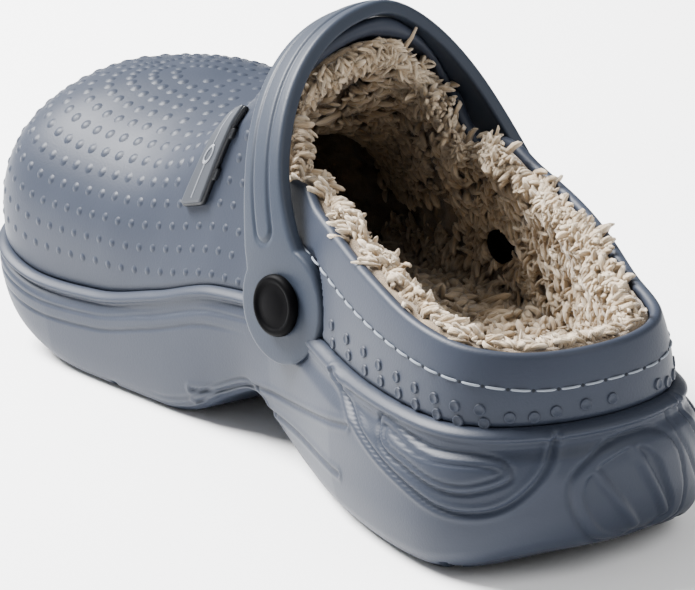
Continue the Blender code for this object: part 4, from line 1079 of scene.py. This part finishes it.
def makeFleeceBase():
    return sheetSolid("fleeceBase", "fleece", "fleece_lining", wool, fleece["base"],
                      (steady(-fleece["depth"]), fleeceInner), fields=shadedBaseFields,
                      puff=lambda points: fleece["puff"] * (1 + lumps(points * 1.3)))


def makeInsoleBase():
    # rows out under the footbed's pad, up its rim and in over its lumpy top
    loop = loopTurns(insole["columns"], clog["openTurn"])[0]
    base, centre = plan(loop), spine(plan(loop))
    edge = base - outward(loop) * insole["inset"]
    rows = [(part, insole["under"]) for part in insole["underParts"]] + [(1.0, insole["rim"])]
    rows += [(part, insole["top"]) for part in insole["topParts"]]
    points = []
    for part, lift in rows:
        flat = centre + (edge - centre) * part
        row = atHeight(flat, level("footbed", flat) + lift)
        if lift == insole["top"]:
            row[:, 2] += insole["lump"] * lumps(row) * (part > 0)
        points.append(row)
    points = np.array(points).reshape(-1, 3)
    makePiece("insoleBase", "fleece_insole", wool, points, gridQuads(len(rows), len(loop)), nodes=("insole",),
              fields=shadedBaseFields(points))


# the locks: each one's rings along its length, then where each piece's locks stand, how long and how wide they are
lock = {"along": (0.0, 0.34, 0.66, 0.88, 1.0), "widths": (0.75, 1.08, 1.05, 0.80, 0.28), "sides": 4, "flat": 0.62,
        "rise": (0.80, -0.42), "over": (0.20, 0.62), "stray": 0.36, "swirl": 0.55, "curl": 0.33, "sway": 2.6,
        "sunk": 0.0012, "rivetGap": 0.0052, "strandRound": 1.5, "strandLong": 1.1}
pile = {
    "seed": 3, "draws": 60000,
    "fleeceRim": {"count": 3600, "angles": (0.40, 1.05), "stand": 0.8, "lean": (0.1, 1.0), "up": 0.25,
                  "long": (0.0036, 0.0064), "wide": (0.0006, 0.0012), "seed": 11},
    "fleeceWall": {"turns": (-94.0, 94.0), "density": 0.25, "top": 0.97, "spotSeed": 21,
                   "lowCount": 2000, "lowTurn": 125.0, "lowFoot": 0.005, "lowInset": 0.0081, "lowTilt": 0.15,
                   "down": -0.5, "loose": 0.5, "long": (0.0042, 0.0074), "wide": (0.0007, 0.0014), "seed": 12},
    "fleeceVamp": {"turns": (97.0, 263.0), "angles": (0.25, 1.5), "density": 0.18, "spotSeed": 22, "end": 0.215,
                   "lean": (0.0, -0.9, -0.3), "loose": 0.3, "long": (0.0042, 0.0075), "wide": (0.0007, 0.0014),
                   "seed": 13},
    "fleeceBed": {"count": 3000, "shares": (0.03, 0.86), "inset": 0.0125, "lift": 0.0060, "tilt": 0.1,
                  "long": (0.0045, 0.0075), "wide": (0.0010, 0.0019), "seed": 14},
}


def makeLocks(name, root, normal, lean, sizes, slot="fleece"):
    # a lock leaves along the normal, bends over to its lean by two quadratics, sways to a side by a sine, and its
    # flattened rings narrow to a tip
    kind = pile[name]
    length, width = (sizes.uniform(*kind[key], len(root)) for key in ("long", "wide"))
    clear = np.ones(len(root), bool)
    for centre, axis in pivots:
        clear &= fromAxis(root, centre, axis)[1] > lock["rivetGap"]
    root, normal, lean, length, width = (v[clear] for v in (root, normal, lean, length, width))
    n, s, chance = len(root), np.array(lock["along"]), np.random.default_rng(kind["seed"])
    swirl = np.stack([lumps(root * 1.1 + shift) for shift in (0.1, 0.7, 1.9)], -1)
    lean = lean + chance.normal(0, lock["stray"], (n, 3)) + swirl * lock["swirl"]
    lean = unit(lean - np.einsum("ij,ij->i", lean, normal)[:, None] * normal)
    side = np.cross(normal, lean)
    curl, phase = chance.normal(0, lock["curl"], n), chance.uniform(0, 6.3, n)
    rise, over = (k[0] * s + k[1] * s ** 2 for k in (lock["rise"], lock["over"]))
    sway = curl[:, None] * np.sin(lock["sway"] * s[None] + phase[:, None]) - (curl * np.sin(phase))[:, None]
    bend = normal[:, None] * rise[None, :, None] + lean[:, None] * over[None, :, None]
    bend = bend + side[:, None] * sway[..., None]
    path = root[:, None] + length[:, None, None] * bend
    path[:, 0] -= normal * lock["sunk"]
    t = unit(np.gradient(path, axis=1))
    u = unit(np.cross(t, side[:, None] + 0.001))
    twist = chance.uniform(0, 6.3, n)
    sides, rings = lock["sides"], len(s)
    angle = np.arange(sides) * 2 * math.pi / sides
    c = np.cos(angle)[None, None, :, None] * u[:, :, None]
    d = np.sin(angle)[None, None, :, None] * np.cross(t, u)[:, :, None] * lock["flat"]
    points = path[:, :, None] + (c + d) * (width[:, None] * np.array(lock["widths"])[None])[:, :, None, None]
    last = (rings - 1) * sides
    ends = np.array([[0, 2, 1], [0, 3, 2], [last, last + 1, last + 2], [last, last + 2, last + 3]])
    tone = np.clip(chance.uniform(0, 1, n) * 0.7 + 0.35 * lumps(root * 1.3 + 0.5) + 0.15, 0, 1)
    strand = np.broadcast_arrays(np.cos(angle)[None, None] * lock["strandRound"] + tone[:, None, None] * 60,
                                 np.sin(angle)[None, None] * lock["strandRound"] + twist[:, None, None] * 9,
                                 s[None, :, None] * lock["strandLong"])
    fields = {"along": np.broadcast_to(s[None, :, None], (n, rings, sides)).ravel(),
              "tone": np.broadcast_to(tone[:, None, None], (n, rings, sides)).ravel(),
              "strand": np.stack(strand, -1).reshape(-1, 3)}
    makePiece(name, slot, wool, points, repeated(gridQuads(rings, sides), n, rings * sides),
              repeated(ends, n, rings * sides), fields=fields)


def scatter(kind, span):
    # random places on the inner face between two angles, even over the surface, density to a square millimetre
    chance, many, turns = np.random.default_rng(kind["spotSeed"]), pile["draws"], kind["turns"]
    turn = np.mod(chance.uniform(*turns, many), 360)
    low, high = span(turn)
    theta = low + (high - low) * chance.uniform(0, 1, many)
    a = np.linalg.norm(outer(turn + 0.5, theta) - outer(turn - 0.5, theta), axis=-1)
    b = np.linalg.norm(outer(turn, theta + 0.01) - outer(turn, theta - 0.01), axis=-1) / 0.02
    area = a * b * (turns[1] - turns[0]) * np.clip(high - low, 0, None)
    pick = chance.uniform(0, 1, many) < kind["density"] * area / many * 1e6
    return turn[pick], theta[pick]


def innerFace(turn, theta):
    # places on the pile's face and the direction into the shoe
    normal = -normals(turn, theta)
    return outer(turn, theta) + normal * (fleece["depth"] + fleece["pile"]), normal


def rimLocks(edge, chance):
    # round the collar's edge, fanned from the outer side of the roll to the inner one
    kind, (o, n, way) = pile["fleeceRim"], edge
    length = np.linalg.norm(np.roll(o, -1, axis=0) - o, axis=1)
    k = chance.choice(len(o), kind["count"], p=length / length.sum())
    f, j = chance.uniform(0, 1, len(k))[:, None], (k + 1) % len(o)
    o, n, way = o[k] + (o[j] - o[k]) * f, n[k] + (n[j] - n[k]) * f, way[k]
    angle = chance.uniform(*kind["angles"], len(k)) * math.pi
    c, s = np.cos(angle)[:, None], np.sin(angle)[:, None]
    half = (o - n) / 2
    size = np.linalg.norm(half, axis=1, keepdims=True)
    root = (o + n) / 2 + half * c + way * size * kind["stand"] * s
    lean = -half / size * chance.uniform(*kind["lean"], len(k))[:, None] + np.array([0.0, 0.0, kind["up"]])
    makeLocks("fleeceRim", root, half / size * c + way * s, lean, chance)


def wallLocks(chance):
    # inner walls round the heel and the sides, and below them between the footbed and the valley line
    kind = pile["fleeceWall"]
    turn, theta = scatter(kind, lambda turn: (turn * 0, collarTheta(turn) * kind["top"]))
    root, normal = innerFace(turn, theta)
    low = np.mod(chance.uniform(-kind["lowTurn"], kind["lowTurn"], kind["lowCount"]), 360)
    base, out = plan(low), outward(low)
    foot = level("footbed", base) + kind["lowFoot"]
    rise = foot + (level("valley", base) - foot) * chance.uniform(0, 1, len(low))
    root = np.concatenate([root, atHeight(base - out * kind["lowInset"], rise)])
    normal = np.concatenate([normal, atHeight(-out, kind["lowTilt"])])
    lean = np.array([0.0, 0.0, kind["down"]]) + chance.normal(0, kind["loose"], (len(root), 3))
    makeLocks("fleeceWall", root, normal, lean, chance)


def vampLocks(chance):
    # under the vamp, behind its smooth lip
    kind = pile["fleeceVamp"]
    turn, theta = scatter(kind, lambda turn: (turn * 0 + kind["angles"][0], turn * 0 + kind["angles"][1]))
    near = outer(turn, theta)[:, 1] < kind["end"]
    root, normal = innerFace(turn[near], theta[near])
    lean = np.array(kind["lean"]) + chance.normal(0, kind["loose"], (len(root), 3))
    makeLocks("fleeceVamp", root, normal, lean, chance)


def bedLocks(chance):
    # on the footbed, evenly between its two edges
    kind, half = pile["fleeceBed"], np.linspace(0, 180, 361)
    many = kind["count"]
    share = chance.uniform(*kind["shares"], many)
    y = share * clog["length"]
    turn = np.interp(y, plan(half)[:, 1], half)
    right, left = plan(turn)[:, 0] - kind["inset"], plan(360 - turn)[:, 0] + kind["inset"]
    x = left + (right - left) * chance.uniform(0, 1, many)
    root = np.stack([x, y, column("footbed", share) * clog["heelSole"] + kind["lift"]], -1)
    normal = np.array([0.0, 0.0, 1.0]) + chance.normal(0, kind["tilt"], (many, 3))
    makeLocks("fleeceBed", root, normal, chance.normal(0, 1, (many, 3)), chance, "fleece_insole")


edge = makeFleeceBase()
makeInsoleBase()
draws = np.random.default_rng(pile["seed"])
rimLocks(edge, draws)
wallLocks(draws)
vampLocks(draws)
bedLocks(draws)
print("fleece made")


# floor, light and camera
studio = {
    "floorHalf": 6, "floorColours": ((0.90, 0.90, 0.905), (0.92, 0.92, 0.92)), "floorScale": 3.0, "world": 0.50,
    # place, size, power
    "key": ((-0.55, 0.85, 1.25), 0.9, 190.0), "fill": ((0.5, -1.2, 1.1), 1.2, 17.0), "aim": (0.0, 0.0, 0.04),
}
# the camera worked out from the photograph: degrees, metres, and pixels of its frame
shot = {"azimuth": -26.96, "elevation": 18.41, "roll": -2.84, "distance": 1.42, "target": (0.0, 0.145, 0.05),
        "focus": 4941.6, "centre": (353.79, 247.58), "width": 695, "height": 590, "sensor": 36.0}


def makeFloor():
    material, tree, shader = newMaterial("floorPale", {"Roughness": 0.9, "Specular IOR Level": 0.1})
    noise = addNode(tree, "TexNoise", [("Vector", addNode(tree, "TexCoord"), "Object")], Scale=studio["floorScale"])
    mixColours(tree, noise, "Fac", *studio["floorColours"], shader)
    far = studio["floorHalf"]
    data = bpy.data.meshes.new("floor")
    data.from_pydata([(-far, -far, 0), (far, -far, 0), (far, far, 0), (-far, far, 0)], [], [(0, 1, 2, 3)])
    data.materials.append(material)
    floor = bpy.data.objects.new("floor", data)
    bpy.context.scene.collection.objects.link(floor)


def softLight(name):
    place, size, power = studio[name]
    lamp = bpy.data.lights.new(name, "AREA")
    lamp.shape, lamp.size, lamp.energy = "DISK", size, power
    obj = bpy.data.objects.new(name, lamp)
    bpy.context.scene.collection.objects.link(obj)
    obj.location = place
    obj.rotation_euler = (Vector(studio["aim"]) - Vector(place)).to_track_quat("-Z", "Y").to_euler()


def makeCamera():
    a, e, r = (math.radians(shot[k]) for k in ("azimuth", "elevation", "roll"))
    back = Vector((math.sin(a) * math.cos(e), -math.cos(a) * math.cos(e), math.sin(e)))
    right = Vector((math.cos(a), math.sin(a), 0.0))
    up = back.cross(right)
    right, up = right * math.cos(r) + up * math.sin(r), up * math.cos(r) - right * math.sin(r)
    lens = bpy.data.cameras.new("camera")
    camera = bpy.data.objects.new("camera", lens)
    bpy.context.scene.collection.objects.link(camera)
    turned = Matrix((right, up, back)).transposed().to_4x4()
    turned.translation = Vector(shot["target"]) + Vector(stand) + back * shot["distance"]
    camera.matrix_world = turned
    lens.sensor_width = shot["sensor"]
    lens.lens = shot["focus"] * shot["sensor"] / shot["width"]
    lens.shift_x = -(shot["centre"][0] - shot["width"] / 2) / shot["width"]
    lens.shift_y = (shot["centre"][1] - shot["height"] / 2) / shot["width"]
    lens.clip_start, lens.clip_end = 0.02, 30.0
    bpy.context.scene.camera = camera


makeFloor()
world = bpy.data.worlds.new("studio")
world.use_nodes = True
background = world.node_tree.nodes["Background"]
background.inputs["Color"].default_value = (1.0, 1.0, 1.0, 1)
background.inputs["Strength"].default_value = studio["world"]
bpy.context.scene.world = world
softLight("key")
softLight("fill")
makeCamera()

print("stage set")
